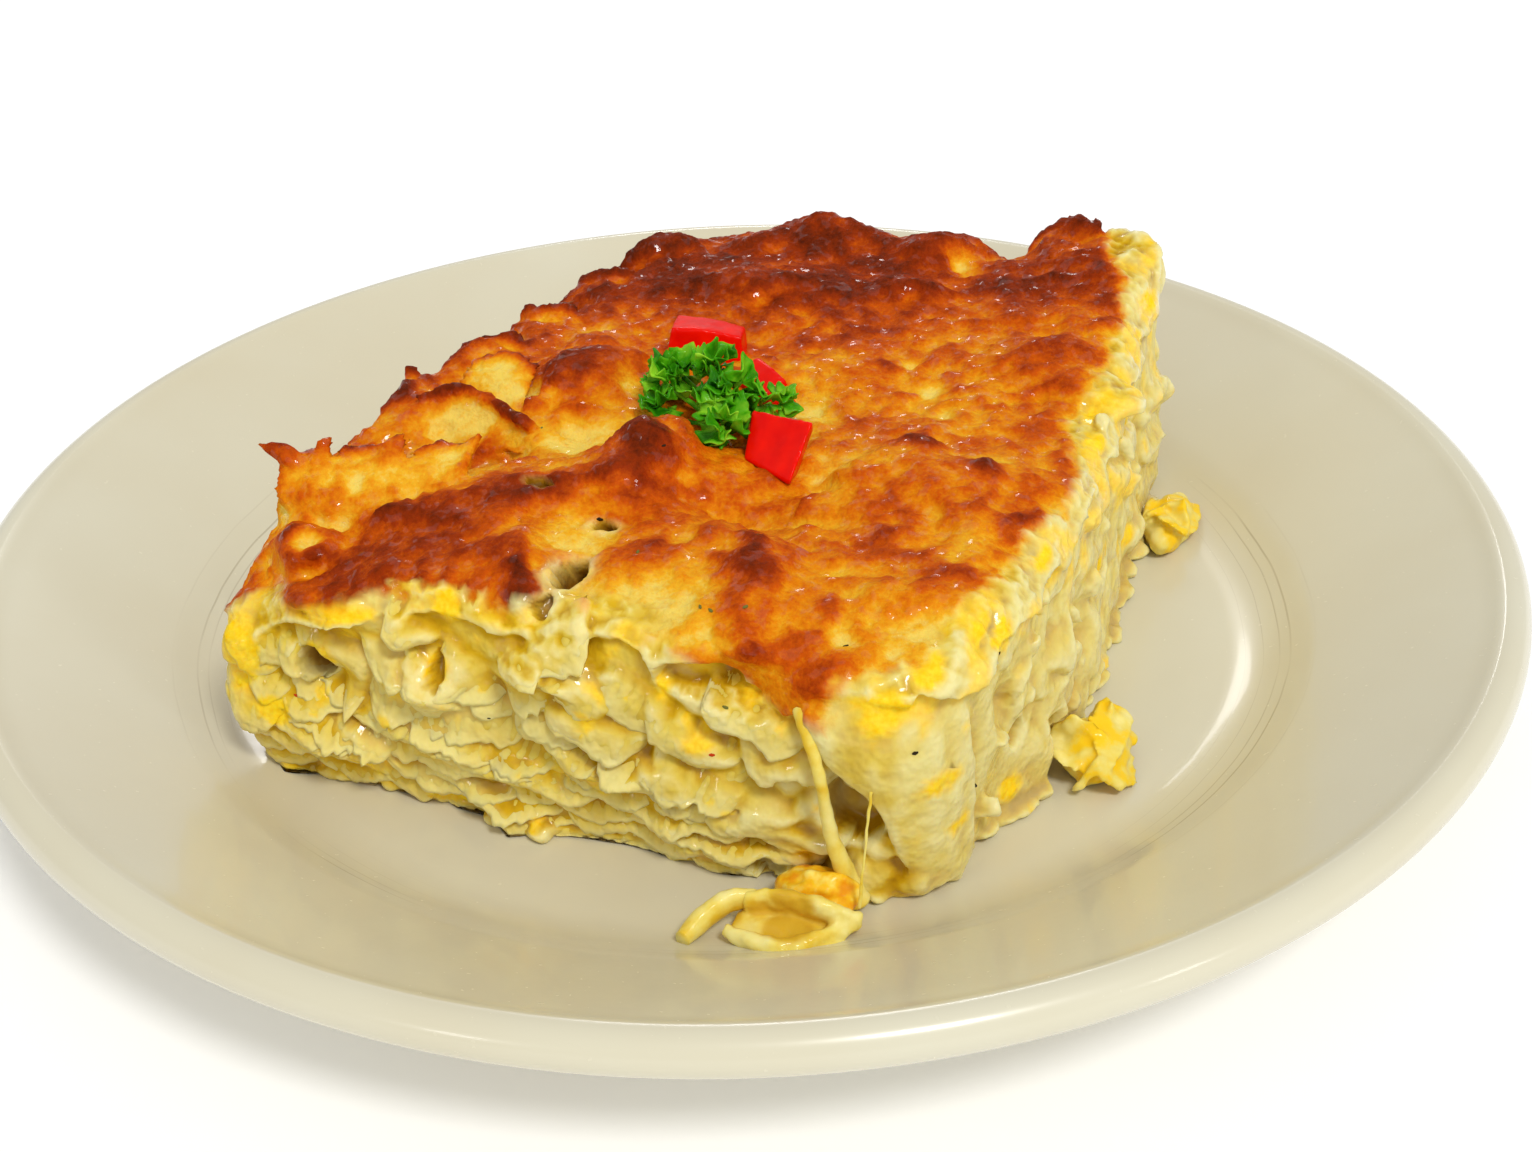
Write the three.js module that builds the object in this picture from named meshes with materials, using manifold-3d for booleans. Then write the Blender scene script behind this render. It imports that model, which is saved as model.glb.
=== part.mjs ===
// A square cut of baked macaroni on a round plate, with a parsley and red pepper garnish.
// Millimetres, +Z up. The plate's foot stands on z = 0 and its axis is the Z axis.
import * as THREE from "three";
import { mergeVertices } from "three/addons/utils/BufferGeometryUtils.js";
import Module from "manifold-3d";

const wasm = await Module();
wasm.setup();

// Driving dimensions of the plate.
const PLATE_RADIUS = 120;
const PLATE_HEIGHT = 25.5;
const BEAD_RADIUS = 3.3; // the rolled edge
const WELL_RADIUS = 76; // flat floor
const CREASE_RADIUS = 89; // where the well's hollow wall meets the wide rim
const FLOOR_Z = 6.6; // top of the well's floor
const CREASE_Z = 11.6;
const RIM_THICKNESS = 4.4;
const FOOT_RADIUS = 72;
const FOOT_HEIGHT = 2.6;
const FOOT_SPREAD = 2.5; // half the width of the foot ring where it stands
const PLATE_SEGMENTS = 48;

// Driving dimensions of the cut, whose own frame is turned on the plate.
// Its u axis runs along the front cut face and its v axis along the right one.
const PORTION_TURN = THREE.MathUtils.degToRad(-22.5);
const PORTION_HEIGHT = 38; // floor of the plate to the crust, between its humps
const GAP = 0.35; // what pieces that touch keep between them
const CORNERS = [
  { u: -58, v: -61.4, radius: 4 }, // front left, in the corner of the baking tin
  { u: 55, v: -62, radius: 17 }, // near corner, under melted cheese
  { u: 57.5, v: -10, radius: 20 }, // the right cut bulges a little
  { u: 51.5, v: 70, radius: 7 }, // far right
  { u: -38, v: 64.5, radius: 8 }, // far left
  { u: -52.5, v: -8, radius: 20 }, // the tin's side
];
const RIM_STEPS = 80;
const LEVELS = 5;
const GRID_STEP = 5.6;
const PASTA_WALL = 2.2; // a cooked shell's wall, with its coat of sauce

const PASTA = { color: 0xe6d58c, roughness: 0.45, metalness: 0 };
const CHEDDAR = { color: 0xf0b428, roughness: 0.4, metalness: 0 };

// A seeded draw in [0, 1), so that every build is the same.
function seeded(seed) {
  let state = seed >>> 0;
  return () => {
    state = (Math.imul(state, 1664525) + 1013904223) >>> 0;
    return state / 4294967296;
  };
}

function solidOf(geometry, tolerance = 1e-4) {
  const bare = geometry.index ? geometry.toNonIndexed() : geometry.clone();
  for (const name of Object.keys(bare.attributes)) {
    if (name !== "position") bare.deleteAttribute(name);
  }
  const merged = mergeVertices(bare, tolerance);
  return new wasm.Manifold(
    new wasm.Mesh({
      numProp: 3,
      vertProperties: merged.attributes.position.array,
      triVerts: new Uint32Array(merged.index.array),
    }),
  );
}

function geometryOf(solid) {
  const mesh = solid.getMesh();
  const geometry = new THREE.BufferGeometry();
  geometry.setAttribute("position", new THREE.BufferAttribute(new Float32Array(mesh.vertProperties), 3));
  geometry.setIndex(new THREE.BufferAttribute(new Uint32Array(mesh.triVerts), 1));
  geometry.computeVertexNormals();
  return geometry;
}

function largestBody(solid) {
  return solid.decompose().reduce((best, body) => (body.volume() > best.volume() ? body : best));
}

// One closed body, with its corners rounded to what a file of it keeps.
function settled(solid) {
  let body = largestBody(solid);
  for (let round = 0; round < 3; round++) body = largestBody(solidOf(geometryOf(body), 2e-3));
  return body;
}

function piece(name, solid, look) {
  const mesh = new THREE.Mesh(geometryOf(settled(solid)), new THREE.MeshStandardMaterial(look));
  mesh.name = name;
  return mesh;
}

// A closed solid between two sheets of points on one grid. Both are cut into triangles alike.
function thickSheet(columns, rows, outer, inner) {
  const positions = [];
  const index = [];
  const stride = rows + 1;
  const size = (columns + 1) * stride;
  for (const side of [outer, inner]) {
    for (let i = 0; i <= columns; i++) {
      for (let j = 0; j <= rows; j++) {
        const p = side(i / columns, j / rows);
        positions.push(p.x, p.y, p.z);
      }
    }
  }
  const quad = (a, b, c, d) => index.push(a, b, c, a, c, d);
  for (let i = 0; i < columns; i++) {
    for (let j = 0; j < rows; j++) {
      const a = i * stride + j;
      const b = size + a;
      quad(a, a + stride, a + stride + 1, a + 1);
      quad(b, b + 1, b + stride + 1, b + stride);
    }
  }
  for (let i = 0; i < columns; i++) {
    const low = i * stride;
    const high = low + rows;
    quad(low, size + low, size + low + stride, low + stride);
    quad(high, high + stride, size + high + stride, size + high);
  }
  for (let j = 0; j < rows; j++) {
    const first = j;
    const last = columns * stride + j;
    quad(first, first + 1, size + first + 1, size + first);
    quad(last, size + last, size + last + 1, last + 1);
  }
  const geometry = new THREE.BufferGeometry();
  geometry.setAttribute("position", new THREE.Float32BufferAttribute(positions, 3));
  geometry.setIndex(index);
  const solid = solidOf(geometry);
  if (solid.volume() > 0) return solid;
  for (let i = 0; i < index.length; i += 3) [index[i + 1], index[i + 2]] = [index[i + 2], index[i + 1]];
  geometry.setIndex(index);
  return solidOf(geometry);
}

// A pasta shell: a boat-shaped wall, curled about its length and drawn in at both tips.
function shellSolid(shell) {
  const { length, width, curl = 1.9, wall = PASTA_WALL, columns = 4, rows = 3 } = shell;
  const at = (offset) => (s, t) => {
    const x = 2 * s - 1;
    const taper = Math.pow(1 - 0.94 * x * x, 0.6);
    const radius = (width / 2) * taper + offset;
    const angle = curl * (2 * t - 1);
    return new THREE.Vector3(
      (x * length) / 2,
      radius * Math.sin(angle),
      (width / 2) * taper - radius * Math.cos(angle) + 0.12 * width * x * x,
    );
  };
  return thickSheet(columns, rows, at(wall / 2), at(-wall / 2));
}

// Turns a solid by roll, pitch and yaw, in degrees, then moves it to (x, y, z).
function placed(solid, { x, y, z, roll = 0, pitch = 0, yaw = 0 }) {
  return solid.rotate([roll, pitch, yaw]).translate([x, y, z]);
}

function blob(radiusX, radiusY, radiusZ, around = 10, rings = 6) {
  const geometry = new THREE.SphereGeometry(1, around, rings);
  geometry.scale(radiusX, radiusY, radiusZ);
  return solidOf(geometry);
}

// The plate's section, from its axis under the foot, out round the bead and back over the rim.
function plateProfile() {
  const beadRadius = PLATE_RADIUS - BEAD_RADIUS;
  const beadZ = PLATE_HEIGHT - BEAD_RADIUS;
  const points = [
    [0, FOOT_HEIGHT],
    [FOOT_RADIUS - 2 * FOOT_SPREAD, FOOT_HEIGHT],
    [FOOT_RADIUS - FOOT_SPREAD, 0],
    [FOOT_RADIUS + FOOT_SPREAD, 0],
    [FOOT_RADIUS + 2 * FOOT_SPREAD, FOOT_HEIGHT],
    [CREASE_RADIUS + 1, CREASE_Z - RIM_THICKNESS],
    [beadRadius - BEAD_RADIUS, beadZ - RIM_THICKNESS],
  ];
  for (let k = 0; k <= 6; k++) {
    const angle = THREE.MathUtils.degToRad(-95 + 200 * (k / 6));
    points.push([beadRadius + BEAD_RADIUS * Math.cos(angle), beadZ + BEAD_RADIUS * Math.sin(angle)]);
  }
  points.push([beadRadius - BEAD_RADIUS, beadZ + BEAD_RADIUS / 2], [CREASE_RADIUS + 1, CREASE_Z + 0.3]);
  for (const share of [0.92, 0.62, 0.32]) {
    const r = THREE.MathUtils.lerp(WELL_RADIUS, CREASE_RADIUS, share);
    points.push([r, THREE.MathUtils.lerp(FLOOR_Z, CREASE_Z, share * share)]);
  }
  points.push([WELL_RADIUS, FLOOR_Z], [0, FLOOR_Z]);
  return points.map(([r, z]) => new THREE.Vector2(r, z));
}

function plateSolid() {
  const geometry = new THREE.LatheGeometry(plateProfile(), PLATE_SEGMENTS);
  geometry.rotateX(Math.PI / 2);
  return solidOf(geometry);
}

// The cut's plan: straight sides between rounded corners.
function planCurve() {
  const shape = new THREE.Shape();
  CORNERS.forEach((corner, k) => {
    const here = new THREE.Vector2(corner.u, corner.v);
    const before = CORNERS[(k + CORNERS.length - 1) % CORNERS.length];
    const after = CORNERS[(k + 1) % CORNERS.length];
    const towards = (other) =>
      new THREE.Vector2(other.u, other.v).sub(here).setLength(corner.radius).add(here);
    const start = towards(before);
    const end = towards(after);
    if (k === 0) shape.moveTo(start.x, start.y);
    else shape.lineTo(start.x, start.y);
    shape.quadraticCurveTo(here.x, here.y, end.x, end.y);
  });
  shape.closePath();
  return shape;
}

const PLAN = planCurve().getSpacedPoints(RIM_STEPS).slice(0, RIM_STEPS);

function planNormal(k) {
  const next = PLAN[(k + 1) % RIM_STEPS];
  const last = PLAN[(k + RIM_STEPS - 1) % RIM_STEPS];
  return new THREE.Vector2(next.y - last.y, last.x - next.x).normalize();
}

function distanceToPlan(u, v) {
  let least = Infinity;
  for (let k = 0; k < RIM_STEPS; k++) {
    least = Math.min(least, Math.hypot(u - PLAN[k].x, v - PLAN[k].y));
  }
  return least;
}

const hump = (u, v, { at, size, rise, turn = 0 }) => {
  const angle = THREE.MathUtils.degToRad(turn);
  const du = u - at[0];
  const dv = v - at[1];
  const along = (du * Math.cos(angle) + dv * Math.sin(angle)) / size[0];
  const across = (dv * Math.cos(angle) - du * Math.sin(angle)) / size[1];
  return rise * Math.exp(-along * along - across * across);
};

// The crust's own peaks and folds: shells that push it up, and the hollows between them.
const CRUST_FORMS = [
  { at: [-57, -61], size: [22, 19], rise: -13 }, // sinks into the tin's corner
  { at: [48, 62], size: [20, 22], rise: 5.5 },
  { at: [-36, 64], size: [12, 10], rise: -2.5 },
  { at: [-4.5, -25.5], size: [9, 6], rise: 4.5, turn: 25 },
  { at: [-22, -38], size: [19, 5], rise: 3.5, turn: 24 },
  { at: [21, -45], size: [4.5, 9], rise: 3.5, turn: 20 },
  { at: [33, -17], size: [7, 6], rise: 4.5 },
  { at: [45, -17], size: [8, 4], rise: 3.5, turn: 30 },
  { at: [41, 27], size: [13, 5], rise: 3.5, turn: 20 },
  { at: [-25, 1], size: [8, 6], rise: 4.5 },
  { at: [-8, 40], size: [15, 7], rise: 2.5 },
  { at: [-35, 55], size: [6, 6], rise: 2.5 },
  { at: [-8, 63], size: [9, 6], rise: 7.5 },
  { at: [12, 64], size: [8, 6], rise: 4 },
  { at: [6, -8], size: [9, 7], rise: -2 },
  { at: [18, -27], size: [9, 6], rise: -4 },
  { at: [-30, -20], size: [12, 5], rise: -4, turn: 20 },
  { at: [-33, -48], size: [14, 5], rise: -1.5, turn: 20 },
];

const RANDOM_HUMPS = (() => {
  const draw = seeded(41);
  return Array.from({ length: 46 }, () => ({
    at: [-50 + 100 * draw(), -58 + 124 * draw()],
    size: [6 + 5 * draw(), 3 + 2.5 * draw()],
    rise: -1.2 + 2.8 * draw(),
    turn: 180 * draw(),
  }));
})();

function crustHeight(u, v) {
  const forms = [...CRUST_FORMS, ...RANDOM_HUMPS].reduce((sum, form) => sum + hump(u, v, form), 0);
  const edge = Math.max(0, 1 - distanceToPlan(u, v) / 6);
  return PORTION_HEIGHT + forms - 3.2 * edge * edge;
}

// Everything below the crust's surface, wider than the cut itself.
function underCrust() {
  const columns = Math.round(132 / GRID_STEP);
  const rows = Math.round(150 / GRID_STEP);
  const at = (s, t) => [-68 + 132 * s, -71 + 150 * t];
  return thickSheet(
    columns,
    rows,
    (s, t) => {
      const [u, v] = at(s, t);
      return new THREE.Vector3(u, v, crustHeight(u, v));
    },
    (s, t) => {
      const [u, v] = at(s, t);
      return new THREE.Vector3(u, v, -20);
    },
  );
}

// How far the side stands out of the plan at height z: the tin's wall leans in at its foot,
// the right cut has slumped outwards, and layers of pasta ripple the cut faces.
function sideOffset(k, z) {
  const n = planNormal(k);
  const tinSide = THREE.MathUtils.smoothstep(-n.x, 0.3, 0.9);
  const rightCut = THREE.MathUtils.smoothstep(n.x, 0.3, 0.9);
  const low = Math.max(0, 1 - z / 9);
  const share = Math.min(1, z / PORTION_HEIGHT);
  const lean = -5 * low * low;
  const pastCorner = THREE.MathUtils.smoothstep(PLAN[k].y, -50, -22);
  const slump = (5.2 * pastCorner - 1.6) * (1 - share) * (1 - share);
  const along = PLAN[k].x + PLAN[k].y;
  const layers = Math.sin(z * 0.95 + along * 0.13 + 1.5 * Math.sin(along * 0.21));
  const lumps = Math.sin(along * 0.47 + z * 0.2) * Math.sin(along * 0.19 - z * 0.33);
  return tinSide * lean + rightCut * slump + (1 - tinSide) * 0.7 * layers + 0.9 * lumps - 1.2 * low;
}

// The cut's sides, taller than the crust, so that crossing it with underCrust leaves the portion.
function sideWall() {
  const top = 62;
  const heights = Array.from({ length: LEVELS + 1 }, (_, k) => (46 * k) / LEVELS).concat(top);
  const positions = [];
  for (const z of heights) {
    PLAN.forEach((p, k) => {
      const n = planNormal(k);
      const offset = sideOffset(k, Math.min(z, 46));
      positions.push(p.x + n.x * offset, p.y + n.y * offset, z);
    });
  }
  const index = [];
  for (let level = 0; level + 1 < heights.length; level++) {
    for (let k = 0; k < RIM_STEPS; k++) {
      const a = level * RIM_STEPS + k;
      const b = level * RIM_STEPS + ((k + 1) % RIM_STEPS);
      index.push(a, b, b + RIM_STEPS, a, b + RIM_STEPS, a + RIM_STEPS);
    }
  }
  const ring = (level) =>
    PLAN.map((_, k) => {
      const at = (level * RIM_STEPS + k) * 3;
      return new THREE.Vector2(positions[at], positions[at + 1]);
    });
  for (const [a, b, c] of THREE.ShapeUtils.triangulateShape(ring(0), [])) index.push(a, c, b);
  const last = (heights.length - 1) * RIM_STEPS;
  for (const [a, b, c] of THREE.ShapeUtils.triangulateShape(ring(heights.length - 1), [])) {
    index.push(last + a, last + b, last + c);
  }
  const geometry = new THREE.BufferGeometry();
  geometry.setAttribute("position", new THREE.Float32BufferAttribute(positions, 3));
  geometry.setIndex(index);
  return solidOf(geometry);
}

// Shells that stand out of the crust, most of them along the edge that lay against the tin.
const CRUST_SHELLS = [
  { x: -42, y: -38, z: 37.5, yaw: 12, roll: 160, pitch: 4, length: 29, width: 13 },
  { x: -37, y: -20, z: 37, yaw: 8, roll: 15, pitch: 8, length: 24, width: 13 },
  { x: -33, y: -7, z: 38, yaw: 30, roll: 150, pitch: 0, length: 23, width: 12 },
  { x: -43, y: 6, z: 34, yaw: 74, roll: 20, pitch: 5, length: 22, width: 10 },
  { x: -39, y: 26, z: 36, yaw: 66, roll: 170, pitch: -4, length: 22, width: 11 },
  { x: -32, y: 48, z: 33, yaw: 35, roll: 15, pitch: 0, length: 21, width: 11 },
  { x: 38, y: 64, z: 43, yaw: -20, roll: 165, pitch: 14, length: 14, width: 9 },
  { x: 45, y: 63, z: 40.5, yaw: 75, roll: 10, pitch: 0, length: 18, width: 9 },
  { x: -49, y: -43, z: 31, yaw: 60, roll: 100, pitch: 12, length: 18, width: 9 },
  { x: 8, y: 64, z: 36, yaw: 10, roll: 175, pitch: 0, length: 22, width: 11 },
];

// Shells whose cut walls stand out of the four sides, in rows that sink towards the near corner.
function sideShells() {
  const draw = seeded(7);
  const runs = [
    { from: [-46, -58.4], to: [40, -58.4], rows: [7, 17, 27], yaw: 0 },
    { from: [54.5, -36], to: [50.5, 56], rows: [8, 20], yaw: 92 },
    { from: [44, 68], to: [-30, 64], rows: [9, 24], yaw: 182 },
    { from: [-39, 56], to: [-52, -40], rows: [15], yaw: 262 },
  ];
  const found = [];
  for (const run of runs) {
    const reach = Math.hypot(run.to[0] - run.from[0], run.to[1] - run.from[1]);
    const count = Math.floor(reach / 27);
    run.rows.forEach((z, row) => {
      for (let k = 0; k < count; k++) {
        const share = (k + 0.25 + 0.5 * (row % 2) + 0.2 * draw()) / count;
        found.push({
          x: run.from[0] + (run.to[0] - run.from[0]) * share,
          y: run.from[1] + (run.to[1] - run.from[1]) * share,
          z: z + 3 * draw() - 3 * share,
          yaw: run.yaw + 16 * (draw() - 0.5),
          pitch: 6 + 8 * (draw() - 0.5),
          roll: 60 + 60 * draw(),
          length: 17 + 8 * draw(),
          width: 8 + 4 * draw(),
        });
      }
    });
  }
  return found;
}

// Hollows that show: open shells and bubbles in the cut faces and along the crust's edge.
const HOLLOWS = [
  { x: -37, y: -62, z: 19, size: [6, 5, 4] },
  { x: -10, y: -63, z: 24, size: [6, 4, 2.5] },
  { x: 24, y: -62, z: 31, size: [7, 4, 3.5] },
  { x: -2, y: -55, z: 37, size: [2.8, 3, 4] },
  { x: 40, y: -63, z: 17, size: [5, 5, 5] },
  { x: 56, y: -42, z: 22, size: [4, 3, 4] },
  { x: 59, y: -12, z: 15, size: [4, 4, 4] },
];

// Melted cheese that hangs over the near corner and bulges at its foot.
const DRAPES = [
  { x: 45.5, y: -56.5, z: 24, size: [6.5, 5.5, 14] },
  { x: 44, y: -57, z: 6, size: [7, 4.5, 6.5] },
  { x: 49, y: -51, z: 10, size: [4.5, 5, 8] },
];

// The red dice of the garnish. Each is a wedge cut from a pepper's wall.
const DICE = [
  { name: "red_dice_back", x: -11, y: 16, z: 39, size: [13, 7.5, 7.5], yaw: 14, pitch: 4, roll: -8 },
  { name: "red_dice_front", x: 12, y: -14.4, z: 39.6, size: [9.6, 6, 9.8], yaw: 24, pitch: 28, roll: 6 },
  { name: "red_dice_middle", x: 3, y: 5, z: 38.5, size: [9, 5.5, 6.5], yaw: -34, roll: 20 },
];

// A hexahedron with one narrower end and slightly uneven faces.
function diceSolid([length, depth, height], slack = 0) {
  const geometry = new THREE.BoxGeometry(length + slack, depth + slack, height + slack, 2, 1, 2);
  const position = geometry.attributes.position;
  for (let k = 0; k < position.count; k++) {
    const x = position.getX(k);
    const z = position.getZ(k);
    const narrow = 1 - 0.2 * (x / length + 0.5);
    position.setX(k, x * (1 - 0.14 * (z / height + 0.5)));
    position.setY(k, position.getY(k) * narrow);
    position.setZ(k, z * narrow + 0.35 * Math.cos((3 * x) / length));
  }
  return solidOf(geometry);
}

const diceAt = (dice, slack) => placed(diceSolid(dice.size, slack), dice);

const PARSLEY = { x: -1, y: -6.5, z: 42, spread: 16, leaves: 7, thick: 0.7 };

// One frilly leaflet: a thin wavy fan whose edge is cut into lobes. It lies on the crust where it
// would sink into it.
function parsleyLeaf(length, width, phase, turn) {
  const centre = new THREE.Vector3(PARSLEY.x, PARSLEY.y, PARSLEY.z);
  const at = (offset) => (s, t) => {
    const across = 2 * t - 1;
    const lobes = 1 + 0.16 * Math.cos(5 * Math.PI * across) * s;
    const reach = length * s * lobes * (1 - 0.35 * across * across);
    const ruffle = 2.1 * s * Math.sin(7 * across + phase) + 1.1 * s * Math.cos(9 * s + phase);
    const point = new THREE.Vector3(reach, (width / 2) * across * (0.12 + 0.88 * s), ruffle);
    point.applyEuler(turn).add(centre);
    point.z = Math.max(point.z, crustHeight(point.x, point.y) + 1.6) + offset;
    return point;
  };
  return thickSheet(2, 5, at(PARSLEY.thick / 2), at(-PARSLEY.thick / 2));
}

function parsleySolid() {
  const draw = seeded(23);
  const stalk = new THREE.CatmullRomCurve3([
    new THREE.Vector3(3, -3, -5.5),
    new THREE.Vector3(0.5, -1, -3),
    new THREE.Vector3(0, 0, 1),
  ]);
  const section = new THREE.Shape().absarc(0, 0, 1.1, 0, 2 * Math.PI);
  const stem = new THREE.ExtrudeGeometry(section, {
    extrudePath: stalk,
    steps: 4,
    curveSegments: 3,
    bevelEnabled: false,
  });
  const knot = solidOf(stem).add(blob(2.2, 2.2, 2.2, 8, 5));
  const leaves = Array.from({ length: PARSLEY.leaves }, (_, k) => {
    const yaw = (2 * Math.PI * k) / PARSLEY.leaves + 0.25 * draw();
    const reach = PARSLEY.spread * (0.78 + 0.26 * draw());
    const turn = new THREE.Euler(0.5 * (draw() - 0.5), -0.45 + 0.4 * draw(), yaw, "ZYX");
    return parsleyLeaf(reach, 9 + 3 * draw(), 6 * draw(), turn);
  });
  return wasm.Manifold.union([knot.translate([PARSLEY.x, PARSLEY.y, PARSLEY.z]), ...leaves]);
}

// A drawn-out strand of melted cheese, thick where it leaves the crust.
function strandSolid(points, radii) {
  const curve = new THREE.CatmullRomCurve3(points.map(([x, y, z]) => new THREE.Vector3(x, y, z)));
  const steps = 9;
  const sides = 6;
  const frames = curve.computeFrenetFrames(steps, false);
  const positions = [];
  for (let i = 0; i <= steps; i++) {
    const centre = curve.getPointAt(i / steps);
    const radius = THREE.MathUtils.lerp(radii[0], radii[1], i / steps);
    for (let k = 0; k < sides; k++) {
      const angle = (2 * Math.PI * k) / sides;
      const out = frames.normals[i]
        .clone()
        .multiplyScalar(radius * Math.cos(angle))
        .addScaledVector(frames.binormals[i], radius * Math.sin(angle));
      positions.push(centre.x + out.x, centre.y + out.y, centre.z + out.z);
    }
  }
  const index = [];
  for (let i = 0; i < steps; i++) {
    for (let k = 0; k < sides; k++) {
      const a = i * sides + k;
      const b = i * sides + ((k + 1) % sides);
      index.push(a, b, b + sides, a, b + sides, a + sides);
    }
  }
  for (let k = 1; k + 1 < sides; k++) {
    index.push(0, k + 1, k);
    const last = steps * sides;
    index.push(last, last + k, last + k + 1);
  }
  const geometry = new THREE.BufferGeometry();
  geometry.setAttribute("position", new THREE.Float32BufferAttribute(positions, 3));
  geometry.setIndex(index);
  return solidOf(geometry);
}

// A small heap of broken shells and cheese beside the cut.
function clumpSolid({ seed, at, count, spread, size }) {
  const draw = seeded(seed);
  let clump = blob(spread[0], spread[1], size * 0.62).translate([at[0], at[1], size * 0.45]);
  for (let k = 0; k < count; k++) {
    const angle = 2 * Math.PI * ((k + draw()) / count);
    const shell = shellSolid({
      length: size * (1.5 + draw()),
      width: size * (0.8 + 0.4 * draw()),
      columns: 3,
      rows: 2,
    });
    clump = clump.add(
      placed(shell, {
        x: at[0] + spread[0] * 0.75 * Math.cos(angle),
        y: at[1] + spread[1] * 0.75 * Math.sin(angle),
        z: size * (0.4 + 0.5 * draw()),
        roll: 360 * draw(),
        pitch: 30 * (draw() - 0.5),
        yaw: 180 * draw(),
      }),
    );
  }
  return clump.intersect(clumpRoom({ at, spread, size }, 0));
}

function clumpRoom({ at, spread, size }, slack) {
  const room = blob(spread[0] * 1.4 + slack, spread[1] * 1.4 + slack, size * 1.3 + slack, 12, 8);
  return room.translate([at[0], at[1], size * 0.3]);
}

const CLUMP_RIGHT = { seed: 5, at: [63.5, -23], count: 4, spread: [5.5, 6], size: 7 };
const CLUMP_FAR_RIGHT = { seed: 12, at: [60, 45], count: 3, spread: [3.6, 9], size: 6 };

const FALLEN_OPEN = { x: 35.5, y: -72.5, z: 1, yaw: 26, pitch: 2, roll: 24 };
const FALLEN_SIDE = { x: 23.4, y: -72.6, z: 4.2, yaw: 56, pitch: -6, roll: 170 };

// A fallen shell, grown all round by the slack.
function fallenShell({ length, width, curl, rows }, slack) {
  return shellSolid({
    length: length + 2 * slack,
    width,
    curl: curl + (2 * slack) / width,
    wall: PASTA_WALL + 2 * slack,
    columns: 8,
    rows,
  });
}

const fallenOpen = (slack) =>
  placed(fallenShell({ length: 19, width: 8.2, curl: 2.1, rows: 10 }, slack), FALLEN_OPEN);

const fallenSide = (slack) =>
  placed(fallenShell({ length: 17, width: 7.4, curl: 1.4, rows: 6 }, slack), FALLEN_SIDE);

const CHEESE_IN_FRONT = { at: [36, -65.3, 2.8], size: [6.2, 3.9, 3.2] };

const cheeseInFront = (slack) => {
  const [x, y, z] = CHEESE_IN_FRONT.size.map((half) => half + slack);
  return blob(x, y, z, 12, 8).translate(CHEESE_IN_FRONT.at);
};

const THICK_STRAND = {
  points: [[32.4, -62.5, 31], [34.6, -64.5, 22], [37.6, -65, 13], [40.4, -65.5, 4]],
  radii: [1.2, 1.7],
};
const THIN_STRAND = {
  points: [[43.3, -64.3, 20.5], [43, -66.5, 11], [42.7, -67.5, 3.5]],
  radii: [0.4, 0.35],
};

const strandWith = ({ points, radii }, slack) =>
  strandSolid(
    points,
    radii.map((radius) => radius + slack),
  );
const thickStrand = (slack) => strandWith(THICK_STRAND, slack);
const thinStrand = (slack) => strandWith(THIN_STRAND, slack);

const stemPocket = () => blob(3, 3, 5).translate([PARSLEY.x + 3, PARSLEY.y - 3, PARSLEY.z - 6]);

// What lies on or beside the cut. Each takes a slack, for the room that its neighbours leave it.
const TRIMMINGS = [
  ...DICE.map((dice) => ({
    name: dice.name,
    solid: (slack) => diceAt(dice, 2 * slack),
    look: { color: 0xd0180f, roughness: 0.3, metalness: 0 },
  })),
  {
    name: "parsley_sprig",
    solid: parsleySolid,
    room: stemPocket,
    look: { color: 0x2f7d1a, roughness: 0.5, metalness: 0 },
  },
  { name: "cheese_in_front", solid: cheeseInFront, look: CHEDDAR },
  { name: "fallen_shell_open", solid: fallenOpen, look: PASTA },
  { name: "fallen_shell_side", solid: fallenSide, look: PASTA },
  {
    name: "clump_right",
    solid: () => clumpSolid(CLUMP_RIGHT),
    room: (slack) => clumpRoom(CLUMP_RIGHT, slack),
    look: PASTA,
  },
  {
    name: "clump_far_right",
    solid: () => clumpSolid(CLUMP_FAR_RIGHT),
    room: (slack) => clumpRoom(CLUMP_FAR_RIGHT, slack),
    look: PASTA,
  },
  { name: "cheese_strand_thick", solid: thickStrand, look: PASTA },
  { name: "cheese_strand_thin", solid: thinStrand, look: PASTA },
];

const plate = plateSolid();
const plateRoom = plate.translate([0, 0, GAP - FLOOR_Z]);
const rooms = TRIMMINGS.map((trimming) => (trimming.room ?? trimming.solid)(GAP));

function bakeSolid() {
  const block = underCrust().intersect(sideWall());
  const shells = [...CRUST_SHELLS, ...sideShells()].map((shell) => placed(shellSolid(shell), shell));
  const drapes = DRAPES.map(({ x, y, z, size }) => blob(...size, 10, 7).translate([x, y, z]));
  const hollows = HOLLOWS.map(({ x, y, z, size }) => blob(...size, 8, 5).translate([x, y, z]));
  const full = largestBody(wasm.Manifold.union([block, ...shells, ...drapes]));
  return wasm.Manifold.difference([full, ...hollows, ...rooms, plateRoom]);
}

// The cut and what lies on it share one frame, which is turned on the plate's floor.
const portion = new THREE.Group();
portion.rotation.z = PORTION_TURN;
portion.position.z = FLOOR_Z;
portion.add(piece("macaroni_bake", bakeSolid(), { color: 0xd9a04a, roughness: 0.5, metalness: 0 }));
TRIMMINGS.forEach(({ name, solid, look }, k) => {
  const clear = wasm.Manifold.difference([solid(0), ...rooms.slice(0, k), plateRoom]);
  portion.add(piece(name, clear, look));
});

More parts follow.
